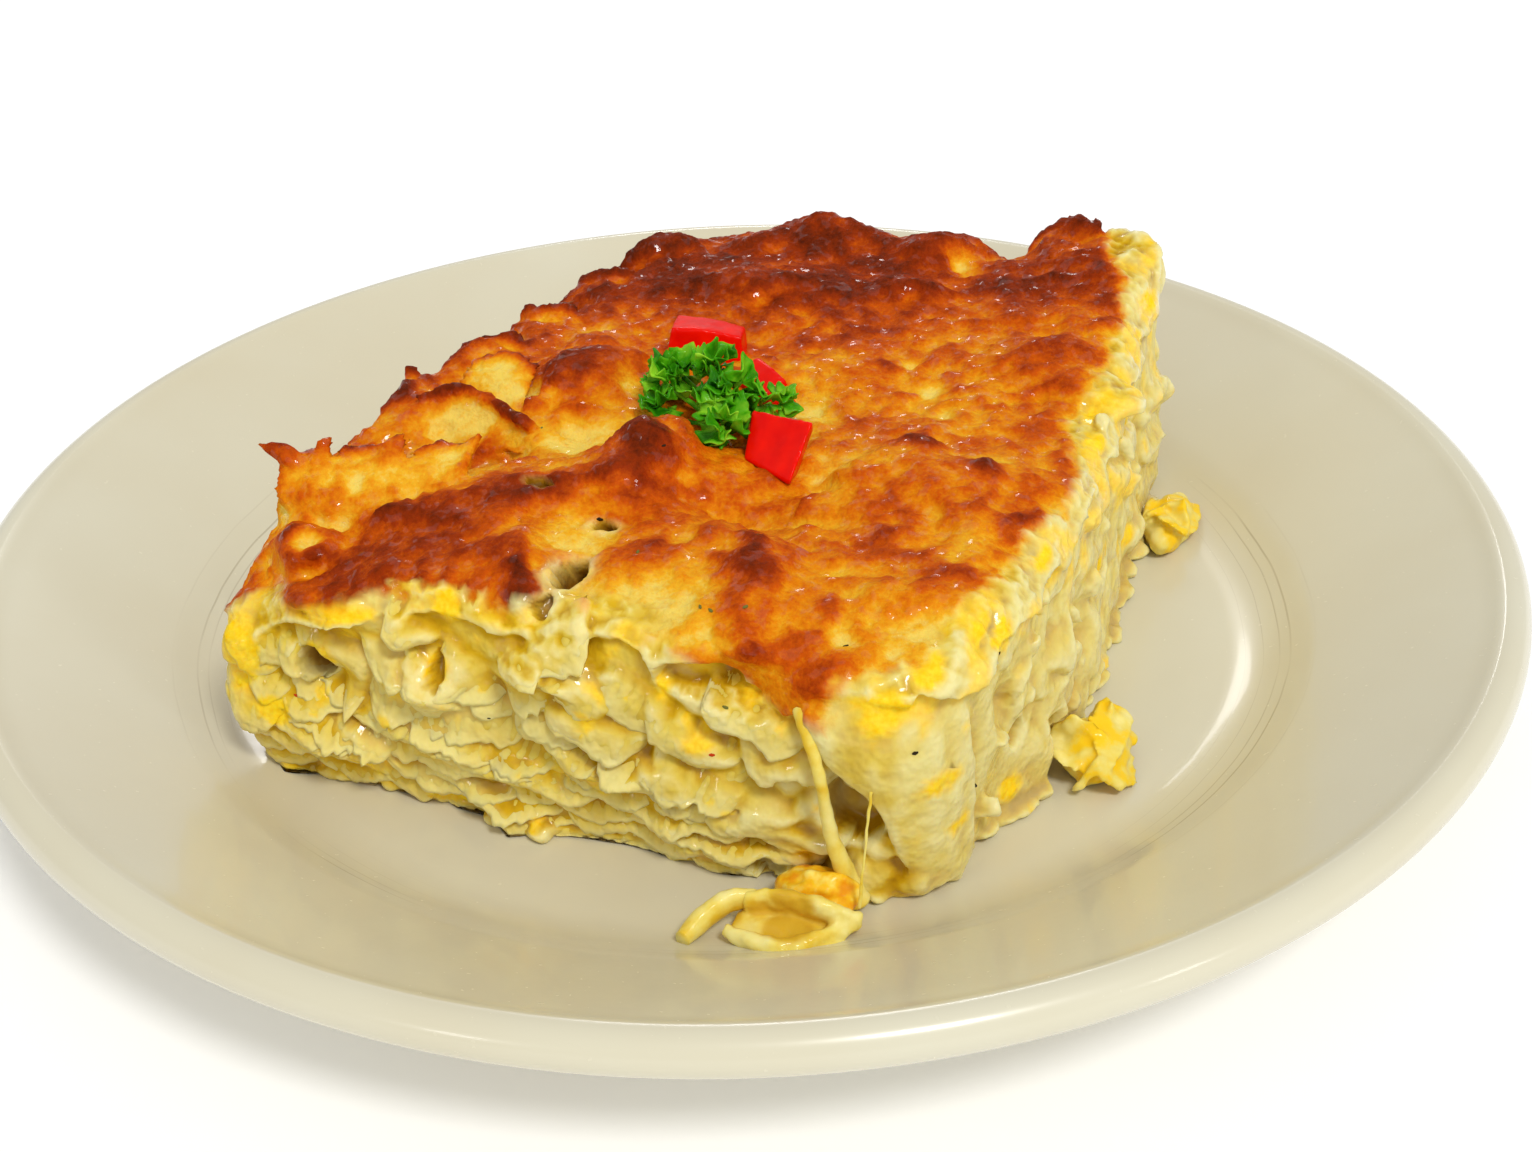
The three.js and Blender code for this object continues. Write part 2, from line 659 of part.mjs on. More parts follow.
const part = new THREE.Group();
part.add(piece("plate", plate, { color: 0xcfc8b2, roughness: 0.2, metalness: 0 }));
part.add(portion);

export default part;
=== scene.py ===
"""A square cut of baked macaroni on its plate. Metres, +Z up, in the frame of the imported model."""
from math import cos, pi, radians, sin

import bmesh
import bpy
import numpy as np
from mathutils import Matrix, Vector
from mathutils.bvhtree import BVHTree


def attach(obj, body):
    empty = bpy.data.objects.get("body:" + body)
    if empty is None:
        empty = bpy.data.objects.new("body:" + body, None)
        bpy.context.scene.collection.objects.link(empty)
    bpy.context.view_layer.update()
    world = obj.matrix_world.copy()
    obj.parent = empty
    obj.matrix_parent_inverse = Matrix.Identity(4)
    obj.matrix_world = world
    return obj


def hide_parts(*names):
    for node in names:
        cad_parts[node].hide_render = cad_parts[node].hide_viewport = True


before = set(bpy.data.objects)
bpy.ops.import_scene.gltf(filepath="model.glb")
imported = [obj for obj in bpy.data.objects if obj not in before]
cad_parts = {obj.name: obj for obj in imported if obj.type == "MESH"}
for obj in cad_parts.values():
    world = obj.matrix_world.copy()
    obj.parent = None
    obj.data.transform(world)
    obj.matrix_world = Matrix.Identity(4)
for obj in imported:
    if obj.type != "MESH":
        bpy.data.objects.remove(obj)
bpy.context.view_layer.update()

# The camera stands a little above the table's edge and looks down on the near corner of the cut.
# It was found from the plate's rim and well, and has a slight roll.
LENS_MM = 51.7
SENSOR_MM = 36.0
CAMERA_AT = Vector((0.0, -0.30184, 0.19874))
CAMERA_RIGHT = Vector((0.99912, -0.03036, -0.02904))
CAMERA_UP = Vector((0.04063, 0.52222, 0.85184))

camera_data = bpy.data.cameras.new("camera")
camera_data.lens = LENS_MM
camera_data.sensor_width = SENSOR_MM
camera = bpy.data.objects.new("camera", camera_data)
axes = Matrix((CAMERA_RIGHT, CAMERA_UP, CAMERA_RIGHT.cross(CAMERA_UP))).transposed()
camera.matrix_world = Matrix.Translation(CAMERA_AT) @ axes.to_4x4()
bpy.context.collection.objects.link(camera)
bpy.context.scene.camera = camera


# The table is plain and white. A wide window high behind the camera is the key light, a bright room
# all round fills the shade, and faint lamps low at the sides and back glint in what is wet.
def srgb(red, green, blue):
    """A colour as an eye reads it, 0 to 255, as the shaders want it."""
    values = [channel / 255 for channel in (red, green, blue)]
    linear = [v / 12.92 if v <= 0.04045 else ((v + 0.055) / 1.055) ** 2.4 for v in values]
    return (*linear, 1.0)


def add_node(tree, kind, inputs=None, **settings):
    """Adds a shader or geometry node. An input is a value, or the socket that feeds it."""
    node = tree.nodes.new(kind)
    for name, value in settings.items():
        setattr(node, name, value)
    for name, value in (inputs or {}).items():
        if isinstance(value, bpy.types.NodeSocket):
            tree.links.new(value, node.inputs[name])
        else:
            node.inputs[name].default_value = value
    return node


def new_finish(name):
    """A material, its tree and its Principled shader."""
    material = bpy.data.materials.new(name)
    material.use_nodes = True
    return material, material.node_tree, material.node_tree.nodes["Principled BSDF"]


def soft_sun(name, place, strength, spread, colour=(1.0, 1.0, 1.0)):
    """Light from the direction of a place, as from a far window that spans so many degrees."""
    data = bpy.data.lights.new(name, "SUN")
    data.energy = strength
    data.angle = radians(spread)
    data.color = colour
    light = bpy.data.objects.new(name, data)
    light.rotation_euler = (-Vector(place)).to_track_quat("-Z", "Y").to_euler()
    bpy.context.collection.objects.link(light)


TABLE_HALF = 4.0
bpy.ops.mesh.primitive_plane_add(size=2 * TABLE_HALF, location=(0, 0, -0.0002))
table = bpy.context.object
table.name = "table_top"
table_finish, _, table_shader = new_finish("white_table")
table_shader.inputs["Base Color"].default_value = (0.9, 0.9, 0.9, 1)
table_shader.inputs["Roughness"].default_value = 0.9
table_shader.inputs["Specular IOR Level"].default_value = 0.1
table_shader.inputs["Emission Color"].default_value = (1, 1, 1, 1)
table_shader.inputs["Emission Strength"].default_value = 0.14
table.data.materials.append(table_finish)

soft_sun("window", (0.28, -0.54, 0.82), 1.62, 14.0, (1.0, 0.99, 0.97))
soft_sun("left_lamp", (-0.55, -0.7, 0.3), 0.16, 8.0)
soft_sun("right_lamp", (0.75, -0.55, 0.25), 0.16, 8.0)
soft_sun("back_lamp", (0.02, 0.88, 0.46), 0.16, 9.0)
world = bpy.data.worlds.new("room")
world.use_nodes = True
world.node_tree.nodes["Background"].inputs["Color"].default_value = (1, 1, 1, 1)
world.node_tree.nodes["Background"].inputs["Strength"].default_value = 0.59
bpy.context.scene.world = world
bpy.context.scene.view_settings.view_transform = "Standard"


# The plate is stoneware with a clear cream glaze, turned on a wheel: a flat well, a hollow wall, a
# wide rim with a rolled edge, and a foot ring. Years of forks left faint rings round its well.
MM = 0.001
PLATE_RADIUS = 120.0
PLATE_HEIGHT = 25.5
BEAD_RADIUS = 3.3
WELL_RADIUS = 76.0
CREASE_RADIUS = 89.0
FLOOR_Z = 6.6
CREASE_Z = 11.6
FOOT_RADIUS = 72.0
FOOT_HEIGHT = 2.6
PLATE_TURNS = 192


def rounded_path(corners, steps=6):
    """Points along straight lines whose corners, given as (r, z, rounding), are turned smoothly."""
    points = []
    for k, (r, z, rounding) in enumerate(corners):
        here = np.array([r, z])
        if k == 0 or k == len(corners) - 1 or rounding == 0:
            points.append(here)
            continue
        ways = [np.array(corners[k + step][:2]) - here for step in (-1, 1)]
        start, end = [here + way * rounding / np.linalg.norm(way) for way in ways]
        for share in np.linspace(0, 1, steps):
            points.append((1 - share) ** 2 * start + 2 * share * (1 - share) * here + share**2 * end)
    return points


def plate_profile():
    bead_r = PLATE_RADIUS - BEAD_RADIUS
    bead_z = PLATE_HEIGHT - BEAD_RADIUS
    under = rounded_path([
        (0, FOOT_HEIGHT, 0),
        (FOOT_RADIUS - 4.6, FOOT_HEIGHT, 2.0),
        (FOOT_RADIUS - 2.6, 0.2, 1.2),
        (FOOT_RADIUS - 0.5, 0, 0.6),
        (FOOT_RADIUS + 2.0, 0.1, 1.4),
        (FOOT_RADIUS + 4.6, FOOT_HEIGHT, 2.0),
        (CREASE_RADIUS + 1, CREASE_Z - 4.4, 6.0),
        (bead_r - 5, bead_z - 4.6, 2.4),
        (bead_r + BEAD_RADIUS * cos(radians(-95)), bead_z + BEAD_RADIUS * sin(radians(-95)), 0),
    ])
    bead = [
        np.array([bead_r + BEAD_RADIUS * cos(radians(a)), bead_z + BEAD_RADIUS * sin(radians(a))])
        for a in np.linspace(-88, 100, 22)
    ]
    rim = rounded_path([
        (bead_r + BEAD_RADIUS * cos(radians(105)), bead_z + BEAD_RADIUS * sin(radians(105)), 0),
        (bead_r - BEAD_RADIUS, bead_z + BEAD_RADIUS / 2, 1.4),
        (CREASE_RADIUS + 0.9, CREASE_Z + 0.4, 0.9),
        (CREASE_RADIUS - 1.2, CREASE_Z - 0.9, 0),
    ])
    wall = [
        np.array([
            WELL_RADIUS + share * (CREASE_RADIUS - WELL_RADIUS),
            FLOOR_Z + share * share * (CREASE_Z - FLOOR_Z),
        ])
        for share in np.linspace(0.85, 0, 9)
    ]
    return under + bead + rim + wall + [np.array([60.0, FLOOR_Z]), np.array([0, FLOOR_Z])]


def new_piece(name, points, faces, finish, smooth=True):
    """A shown mesh. Points are in metres in the object's frame."""
    mesh = bpy.data.meshes.new(name)
    mesh.from_pydata(np.asarray(points).tolist(), [], faces)
    mesh.materials.append(finish)
    mesh.validate()
    mesh.update()
    if smooth:
        mesh.shade_smooth()
    piece = bpy.data.objects.new(name, mesh)
    bpy.context.collection.objects.link(piece)
    return piece


def lathed(name, profile, turns, finish):
    """A profile of (r, z) in millimetres, both ends on the axis, turned round Z."""
    inner = np.array(profile[1:-1])
    angles = np.arange(turns) * 2 * pi / turns
    rings = [np.column_stack([r * np.cos(angles), r * np.sin(angles), np.full(turns, z)]) for r, z in inner]
    ends = np.array([[0, 0, profile[0][1]], [0, 0, profile[-1][1]]])
    points = np.vstack(rings + [ends]) * MM
    faces = []
    for ring in range(len(inner) - 1):
        for k in range(turns):
            a, b = ring * turns + k, ring * turns + (k + 1) % turns
            faces.append((a, b, b + turns, a + turns))
    low, high = len(points) - 2, len(points) - 1
    last = (len(inner) - 1) * turns
    for k in range(turns):
        faces.append((low, (k + 1) % turns, k))
        faces.append((high, last + k, last + (k + 1) % turns))
    return new_piece(name, points, faces, finish)


def noise(tree, place, scale, detail):
    """A soft random cloud, 0 to 1, over the piece."""
    terms = {"Vector": place, "Scale": scale, "Detail": detail}
    return add_node(tree, "ShaderNodeTexNoise", terms).outputs["Fac"]


def worked_out(tree, operation, *terms):
    """The result of one sum on values and sockets."""
    return add_node(tree, "ShaderNodeMath", dict(enumerate(terms)), operation=operation).outputs[0]


def ranged(tree, value, start, end, first=0.0, last=1.0, **settings):
    """First where the value is at start, last where it is at end, and mixed between."""
    terms = {"Value": value, 1: start, 2: end, 3: first, 4: last}
    return add_node(tree, "ShaderNodeMapRange", terms, **settings).outputs[0]


def colour_ramp(tree, factor, stops):
    """Colours, 0 to 255, along a factor."""
    ramp = add_node(tree, "ShaderNodeValToRGB", {"Fac": factor})
    while len(ramp.color_ramp.elements) < len(stops):
        ramp.color_ramp.elements.new(0.5)
    for element, (position, colour) in zip(ramp.color_ramp.elements, stops):
        element.position = position
        element.color = srgb(*colour)
    return ramp.outputs["Color"]


def blended(tree, factor, one, other):
    """One colour turned into the other by a factor."""
    return add_node(tree, "ShaderNodeMix", {0: factor, 6: one, 7: other}, data_type="RGBA").outputs[2]


def bumped(tree, shader, height, strength, distance):
    """Gives a shader a bump of so many metres that follows the height."""
    terms = {"Strength": strength, "Distance": distance, "Height": height}
    tree.links.new(add_node(tree, "ShaderNodeBump", terms).outputs[0], shader.inputs["Normal"])


def glaze_finish():
    """Cream glaze, uneven where it pooled, with the forks' rings where the wall rises."""
    finish, tree, shader = new_finish("cream_glaze")
    place = add_node(tree, "ShaderNodeTexCoord").outputs["Object"]
    cloud = noise(tree, place, 22.0, 3.0)
    tint = colour_ramp(tree, cloud, [(0.3, (212, 204, 176)), (0.72, (217, 212, 188))])
    parts = add_node(tree, "ShaderNodeSeparateXYZ", {"Vector": place})
    squares = [worked_out(tree, "POWER", parts.outputs[axis], 2.0) for axis in "XY"]
    radius = worked_out(tree, "POWER", worked_out(tree, "ADD", *squares), 0.5)
    ringed = worked_out(tree, "ADD", radius, worked_out(tree, "MULTIPLY", cloud, 0.0022))
    ring_noise = add_node(
        tree,
        "ShaderNodeTexNoise",
        {"W": ringed, "Scale": 1400.0, "Detail": 1.0},
        noise_dimensions="1D",
    )
    ring_line = ranged(tree, ring_noise.outputs["Fac"], 0.66, 0.74)
    near_wall = ranged(tree, radius, 0.0765, 0.08, interpolation_type="SMOOTHSTEP")
    past_wall = ranged(tree, radius, 0.0885, 0.0905, 1.0, 0.0, interpolation_type="SMOOTHSTEP")
    worn = worked_out(tree, "MULTIPLY", near_wall, past_wall)
    patches = ranged(tree, cloud, 0.42, 0.6, 0.0, 0.4)
    ring_share = worked_out(tree, "MULTIPLY", worked_out(tree, "MULTIPLY", ring_line, worn), patches)
    stained = blended(tree, ring_share, tint, srgb(140, 122, 84))
    rough = ranged(tree, noise(tree, place, 900.0, 2.0), 0.0, 1.0, 0.2, 0.3)
    tree.links.new(stained, shader.inputs["Base Color"])
    tree.links.new(rough, shader.inputs["Roughness"])
    bumped(tree, shader, cloud, 0.1, 0.0006)
    shader.inputs["Coat Weight"].default_value = 0.25
    shader.inputs["Coat Roughness"].default_value = 0.06
    return finish


def settled(piece, node=None):
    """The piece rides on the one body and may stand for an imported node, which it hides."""
    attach(piece, "root")
    if node:
        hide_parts(node)


plate = lathed("glazed_plate", plate_profile(), PLATE_TURNS, glaze_finish())
settled(plate, "plate")


# The cut is a block of boiled pasta shells set in cheese sauce. It is worked out in millimetres in
# its own frame, turned on the plate, with u along its front cut face, v along the right one, and
# z = 0 on the plate's floor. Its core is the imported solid, smoothed.
CUT_TURN = radians(-22.5)
CUT_FRAME = Matrix.Translation((0, 0, FLOOR_Z)) @ Matrix.Rotation(CUT_TURN, 4, "Z")


def turned(points, matrix):
    """Points, as rows, moved by a 4x4 matrix."""
    matrix = np.array(matrix)
    return np.asarray(points) @ matrix[:3, :3].T + matrix[:3, 3]


def unit_rows(vectors):
    return vectors / np.maximum(np.linalg.norm(vectors, axis=-1, keepdims=True), 1e-9)


SLOPES = unit_rows(np.random.default_rng(5).normal(size=(1024, 3)))
HASH_STEPS = (73856093, 19349663, 83492791)


def grain(points, size, seed=0):
    """Smooth noise, about -1 to 1, that changes over so many millimetres."""
    at = np.asarray(points, float) / size + 17.3 * seed
    cell = np.floor(at).astype(np.int64)
    part = at - cell
    smooth = part**3 * (part * (part * 6 - 15) + 10)
    total = np.zeros(len(at))
    for corner in np.ndindex(2, 2, 2):
        keys = (cell + corner) * HASH_STEPS
        slope = SLOPES[(keys[:, 0] ^ keys[:, 1] ^ keys[:, 2]) & 1023]
        weight = np.where(corner, smooth, 1 - smooth).prod(axis=1)
        total += weight * ((part - corner) * slope).sum(axis=1)
    return 1.7 * total


def ease(values, low, high):
    """0 below low, 1 above high, smooth between."""
    share = np.clip((values - low) / (high - low), 0, 1)
    return share * share * (3 - 2 * share)


def mesh_arrays(mesh):
    """A mesh's points and its faces."""
    points = np.empty(len(mesh.vertices) * 3)
    mesh.vertices.foreach_get("co", points)
    return points.reshape(-1, 3), [tuple(face.vertices) for face in mesh.polygons]


def node_arrays(name):
    """A CAD node's points, in the cut's frame in millimetres, and its faces, merged into one shell."""
    work = bmesh.new()
    work.from_mesh(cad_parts[name].data)
    bmesh.ops.remove_doubles(work, verts=work.verts, dist=2e-6)
    mesh = bpy.data.meshes.new(name + "_copy")
    work.to_mesh(mesh)
    work.free()
    points, faces = mesh_arrays(mesh)
    bpy.data.meshes.remove(mesh)
    return turned(points / MM, CUT_FRAME.inverted()), faces


def evaluated_mesh(work):
    """An object's mesh as its modifiers make it."""
    return bpy.data.meshes.new_from_object(work.evaluated_get(bpy.context.evaluated_depsgraph_get()))


def joined(parts):
    """Several (points, faces) as one."""
    points, faces, start = [], [], 0
    for part_points, part_faces in parts:
        points.append(part_points)
        faces += [tuple(index + start for index in face) for face in part_faces]
        start += len(part_points)
    return np.vstack(points), faces


def fused(parts, cell):
    """Closed shells that overlap, made one skin of square faces of that size, in millimetres."""
    points, faces = joined(parts)
    mesh = bpy.data.meshes.new("fusing")
    mesh.from_pydata(points.tolist(), [], faces)
    work = bpy.data.objects.new("fusing", mesh)
    bpy.context.collection.objects.link(work)
    remesh = work.modifiers.new("fuse", "REMESH")
    remesh.mode = "VOXEL"
    remesh.voxel_size = cell
    made = evaluated_mesh(work)
    points = np.empty(len(made.vertices) * 3)
    made.vertices.foreach_get("co", points)
    corners = np.empty(len(made.loops), np.int64)
    made.loops.foreach_get("vertex_index", corners)
    bpy.data.objects.remove(work)
    bpy.data.meshes.remove(mesh)
    bpy.data.meshes.remove(made)
    return points.reshape(-1, 3), corners.reshape(-1, 4)


def edge_pairs(faces):
    pairs = np.vstack([faces[:, [k, (k + 1) % 4]] for k in range(4)])
    return np.unique(np.sort(pairs, axis=1), axis=0)


def relaxed(points, edges, rounds, share=0.5):
    """Points drawn towards their neighbours' mean; share may differ from point to point."""
    count = len(points)
    degree = np.bincount(edges.ravel(), minlength=count)[:, None]
    share = np.broadcast_to(np.asarray(share, float), (count,))[:, None]
    for _ in range(rounds):
        sums = [
            np.bincount(edges[:, 0], points[edges[:, 1], k], count)
            + np.bincount(edges[:, 1], points[edges[:, 0], k], count)
            for k in range(3)
        ]
        points = points + share * (np.column_stack(sums) / degree - points)
    return points


def normals_of(points, faces):
    """Unit normals at the points of a skin of square faces."""
    across = np.cross(
        points[faces[:, 2]] - points[faces[:, 0]],
        points[faces[:, 3]] - points[faces[:, 1]],
    )
    total = np.zeros_like(points)
    for k in range(4):
        for axis in range(3):
            total[:, axis] += np.bincount(faces[:, k], across[:, axis], len(points))
    return unit_rows(total)


def thick_sheet(outer, inner):
    """A closed wall between two grids of points."""
    columns, rows = outer.shape[:2]
    size = columns * rows
    points = np.vstack([outer.reshape(-1, 3), inner.reshape(-1, 3)])
    at = np.arange(size).reshape(columns, rows)
    faces = []
    for i in range(columns - 1):
        for j in range(rows - 1):
            a, b, c, d = at[i, j], at[i + 1, j], at[i + 1, j + 1], at[i, j + 1]
            faces.append((a, b, c, d))
            faces.append((a + size, d + size, c + size, b + size))
    rim = [at[i, 0] for i in range(columns)] + [at[-1, j] for j in range(1, rows)]
    rim += [at[i, -1] for i in range(columns - 2, -1, -1)] + [at[0, j] for j in range(rows - 2, 0, -1)]
    for k, a in enumerate(rim):
        b = rim[(k + 1) % len(rim)]
        faces.append((a, a + size, b + size, b))
    return points, faces


RIB_PITCH = 1.9
RIB_HEIGHT = 0.5
PASTA_WALL = 1.9


def pasta_shell(length, width, curl, wall=PASTA_WALL, columns=34, rows=12, ribs=RIB_HEIGHT):
    """A boiled shell: a ribbed wall, curled about its length and drawn in at both tips."""
    x = np.linspace(-1, 1, columns)[:, None]
    angle = curl * np.linspace(-1, 1, rows)[None, :]
    taper = np.power(1 - 0.94 * x * x, 0.6)
    rib = ribs * (0.5 + 0.5 * np.cos(pi * x * length / RIB_PITCH))

    def skin(offset):
        radius = width / 2 * taper + offset
        return np.stack(
            np.broadcast_arrays(
                x * length / 2,
                radius * np.sin(angle),
                width / 2 * taper - radius * np.cos(angle) + 0.12 * width * x * x,
            ),
            axis=-1,
        )

    return thick_sheet(skin(wall / 2 + rib), skin(-wall / 2 + 0 * rib))


CORE_CELL = 1.1
CORE_ROUNDS = 14
core_points, core_faces = fused([node_arrays("macaroni_bake")], CORE_CELL)
core_edges = edge_pairs(core_faces)
core_points = relaxed(core_points, core_edges, CORE_ROUNDS)
core_tree = BVHTree.FromPolygons(core_points.tolist(), core_faces.tolist())


# The height of the crust over the plan, on a grid, from the smoothed core. Outside the plan it
# carries on at the edge's height.
GRID = 2.0
GRID_LOW = np.array([-64.0, -70.0])
GRID_SIZE = (65, 76)
ABOVE_ALL = 80.0
CRUST_LOWEST = 20.0


def height_grid():
    """The crust's height at each point of the grid, and which points lie over the cut."""
    heights = np.full(GRID_SIZE, np.nan)
    for i in range(GRID_SIZE[0]):
        for j in range(GRID_SIZE[1]):
            u, v = GRID_LOW + GRID * np.array([i, j])
            hit = core_tree.ray_cast(Vector((u, v, ABOVE_ALL)), Vector((0, 0, -1)))[0]
            if hit and hit.z > CRUST_LOWEST:
                heights[i, j] = hit.z
    inside = ~np.isnan(heights)
    while np.isnan(heights).any():
        padded = np.pad(heights, 1, constant_values=np.nan)
        around = np.stack([
            padded[1 + i:1 + i + GRID_SIZE[0], 1 + j:1 + j + GRID_SIZE[1]]
            for i in (-1, 0, 1) for j in (-1, 0, 1)
        ])
        known = ~np.isnan(around)
        mean = np.where(known, around, 0).sum(0) / np.maximum(known.sum(0), 1)
        heights = np.where(np.isnan(heights) & known.any(0), mean, heights)
    return heights, inside


crust_heights, over_cut = height_grid()


def on_grid(grid, i, j):
    """A grid's value between its points."""
    i0 = np.clip(np.floor(i).astype(int), 0, grid.shape[0] - 2)
    j0 = np.clip(np.floor(j).astype(int), 0, grid.shape[1] - 2)
    fi, fj = np.clip(i - i0, 0, 1), np.clip(j - j0, 0, 1)
    low = grid[i0, j0] * (1 - fi) + grid[i0 + 1, j0] * fi
    high = grid[i0, j0 + 1] * (1 - fi) + grid[i0 + 1, j0 + 1] * fi
    return low * (1 - fj) + high * fj


def crust_at(u, v):
    """The crust's height at (u, v), which may be arrays."""
    i, j = [(np.asarray(at) - low) / GRID for at, low in zip((u, v), GRID_LOW)]
    return on_grid(crust_heights, i, j)


# The sides of the cut, read by the distance s along its plan and the height z. The reach is how far
# the core stands out of the plan there.
PLAN_CORNERS = [
    (-55.2, -34.7, 0),
    (-58, -61.4, 6),
    (55, -62, 17),
    (57.5, -10, 20),
    (51.5, 70, 8),
    (-38, 64.5, 8),
    (-52.5, -8, 20),
    (-55.2, -34.7, 0),
]
BELT_OUT = 14.0
SIDE_STEP = 2.0
SIDE_ROWS = 23


def plan_line():
    """Points one millimetre apart round the plan, and their normals."""
    rough = np.array(rounded_path(PLAN_CORNERS, steps=9))
    lengths = np.concatenate([[0], np.cumsum(np.linalg.norm(np.diff(rough, axis=0), axis=1))])
    s = np.arange(0, lengths[-1])
    line = np.column_stack([np.interp(s, lengths, rough[:, k]) for k in (0, 1)])
    ways = np.roll(line, -3, axis=0) - np.roll(line, 3, axis=0)
    return line, unit_rows(np.column_stack([ways[:, 1], -ways[:, 0]]))


PLAN_LINE, PLAN_NORMALS = plan_line()
PLAN_LENGTH = len(PLAN_LINE)


def reach_grid():
    """How far the core stands out, for steps along the plan and up. Hollows are bridged."""
    rows = []
    for s in np.arange(0, PLAN_LENGTH, SIDE_STEP).astype(int):
        start, out = PLAN_LINE[s] + BELT_OUT * PLAN_NORMALS[s], PLAN_NORMALS[s]
        row = []
        for k in range(SIDE_ROWS):
            z = max(1.2, k * SIDE_STEP)
            hit = core_tree.ray_cast(Vector((*start, z)), Vector((*-out, 0)))[3]
            reach = BELT_OUT - hit if hit is not None else -99.0
            if row and reach < row[-1] - 4:
                reach = row[-1]
            row.append(reach)
        rows.append(row)
    return np.array(rows + rows[:1])


side_reach = reach_grid()


def at_side(s, z, out):
    """Points at s along the plan, at height z, so far out of the core's side."""
    s = np.mod(s, PLAN_LENGTH)
    reach = on_grid(side_reach, s / SIDE_STEP, z / SIDE_STEP) + out
    low = np.floor(s).astype(int)
    share = (s - low)[..., None]
    high = (low + 1) % PLAN_LENGTH
    line = PLAN_LINE[low] * (1 - share) + PLAN_LINE[high] * share
    normal = PLAN_NORMALS[low] * (1 - share) + PLAN_NORMALS[high] * share
    plan = line + normal * reach[..., None]
    return np.stack([plan[..., 0], plan[..., 1], np.broadcast_to(z, plan.shape[:-1])], axis=-1)


def s_near(u, v):
    """The distance along the plan that is nearest to (u, v)."""
    return int(np.argmin(np.hypot(PLAN_LINE[:, 0] - u, PLAN_LINE[:, 1] - v)))


# Shells lie under the melted cheese all over the top and push it up in humps. They are strewn by
# Geometry Nodes from a few base shells, one for each way that a shell has curled.
def strewing_tree():
    """Instances of a piece on points, turned and sized by the points' attributes and a seed."""
    tree = bpy.data.node_groups.new("strewn_pieces", "GeometryNodeTree")
    tree.interface.new_socket("Points", in_out="INPUT", socket_type="NodeSocketGeometry")
    tree.interface.new_socket("Piece", in_out="INPUT", socket_type="NodeSocketObject")
    tree.interface.new_socket("Size Spread", in_out="INPUT", socket_type="NodeSocketFloat")
    tree.interface.new_socket("Turn Spread", in_out="INPUT", socket_type="NodeSocketFloat")
    tree.interface.new_socket("Seed", in_out="INPUT", socket_type="NodeSocketInt")
    tree.interface.new_socket("Finish", in_out="INPUT", socket_type="NodeSocketMaterial")
    tree.interface.new_socket("Pieces", in_out="OUTPUT", socket_type="NodeSocketGeometry")
    given = add_node(tree, "NodeGroupInput").outputs
    shape = add_node(tree, "GeometryNodeObjectInfo", {"Object": given["Piece"]})
    turn = add_node(tree, "GeometryNodeInputNamedAttribute", {"Name": "turn"}, data_type="FLOAT_VECTOR")
    size = add_node(tree, "GeometryNodeInputNamedAttribute", {"Name": "size"}, data_type="FLOAT")
    less = worked_out(tree, "MULTIPLY", given["Turn Spread"], -1.0)
    low = add_node(tree, "ShaderNodeCombineXYZ", {axis: less for axis in "XYZ"})
    high = add_node(tree, "ShaderNodeCombineXYZ", {axis: given["Turn Spread"] for axis in "XYZ"})
    extra = add_node(
        tree,
        "FunctionNodeRandomValue",
        {"Min": low.outputs[0], "Max": high.outputs[0], "Seed": given["Seed"]},
        data_type="FLOAT_VECTOR",
    )
    full_turn = add_node(
        tree,
        "ShaderNodeVectorMath",
        {0: turn.outputs["Attribute"], 1: extra.outputs["Value"]},
        operation="ADD",
    )
    rotation = add_node(tree, "FunctionNodeEulerToRotation", {"Euler": full_turn.outputs[0]})
    smaller = worked_out(tree, "SUBTRACT", 1.0, given["Size Spread"])
    bigger = worked_out(tree, "ADD", 1.0, given["Size Spread"])
    spread = add_node(
        tree,
        "FunctionNodeRandomValue",
        {2: smaller, 3: bigger, "Seed": given["Seed"]},
        data_type="FLOAT",
    )
    instances = add_node(
        tree,
        "GeometryNodeInstanceOnPoints",
        {
            "Points": given["Points"],
            "Instance": shape.outputs["Geometry"],
            "Rotation": rotation.outputs[0],
            "Scale": worked_out(tree, "MULTIPLY", size.outputs["Attribute"], spread.outputs[1]),
        },
    )
    real = add_node(tree, "GeometryNodeRealizeInstances", {0: instances.outputs[0]})
    painted = add_node(tree, "GeometryNodeSetMaterial", {0: real.outputs[0], "Material": given["Finish"]})
    add_node(tree, "NodeGroupOutput", {"Pieces": painted.outputs[0]})
    return tree


STREWING = strewing_tree()


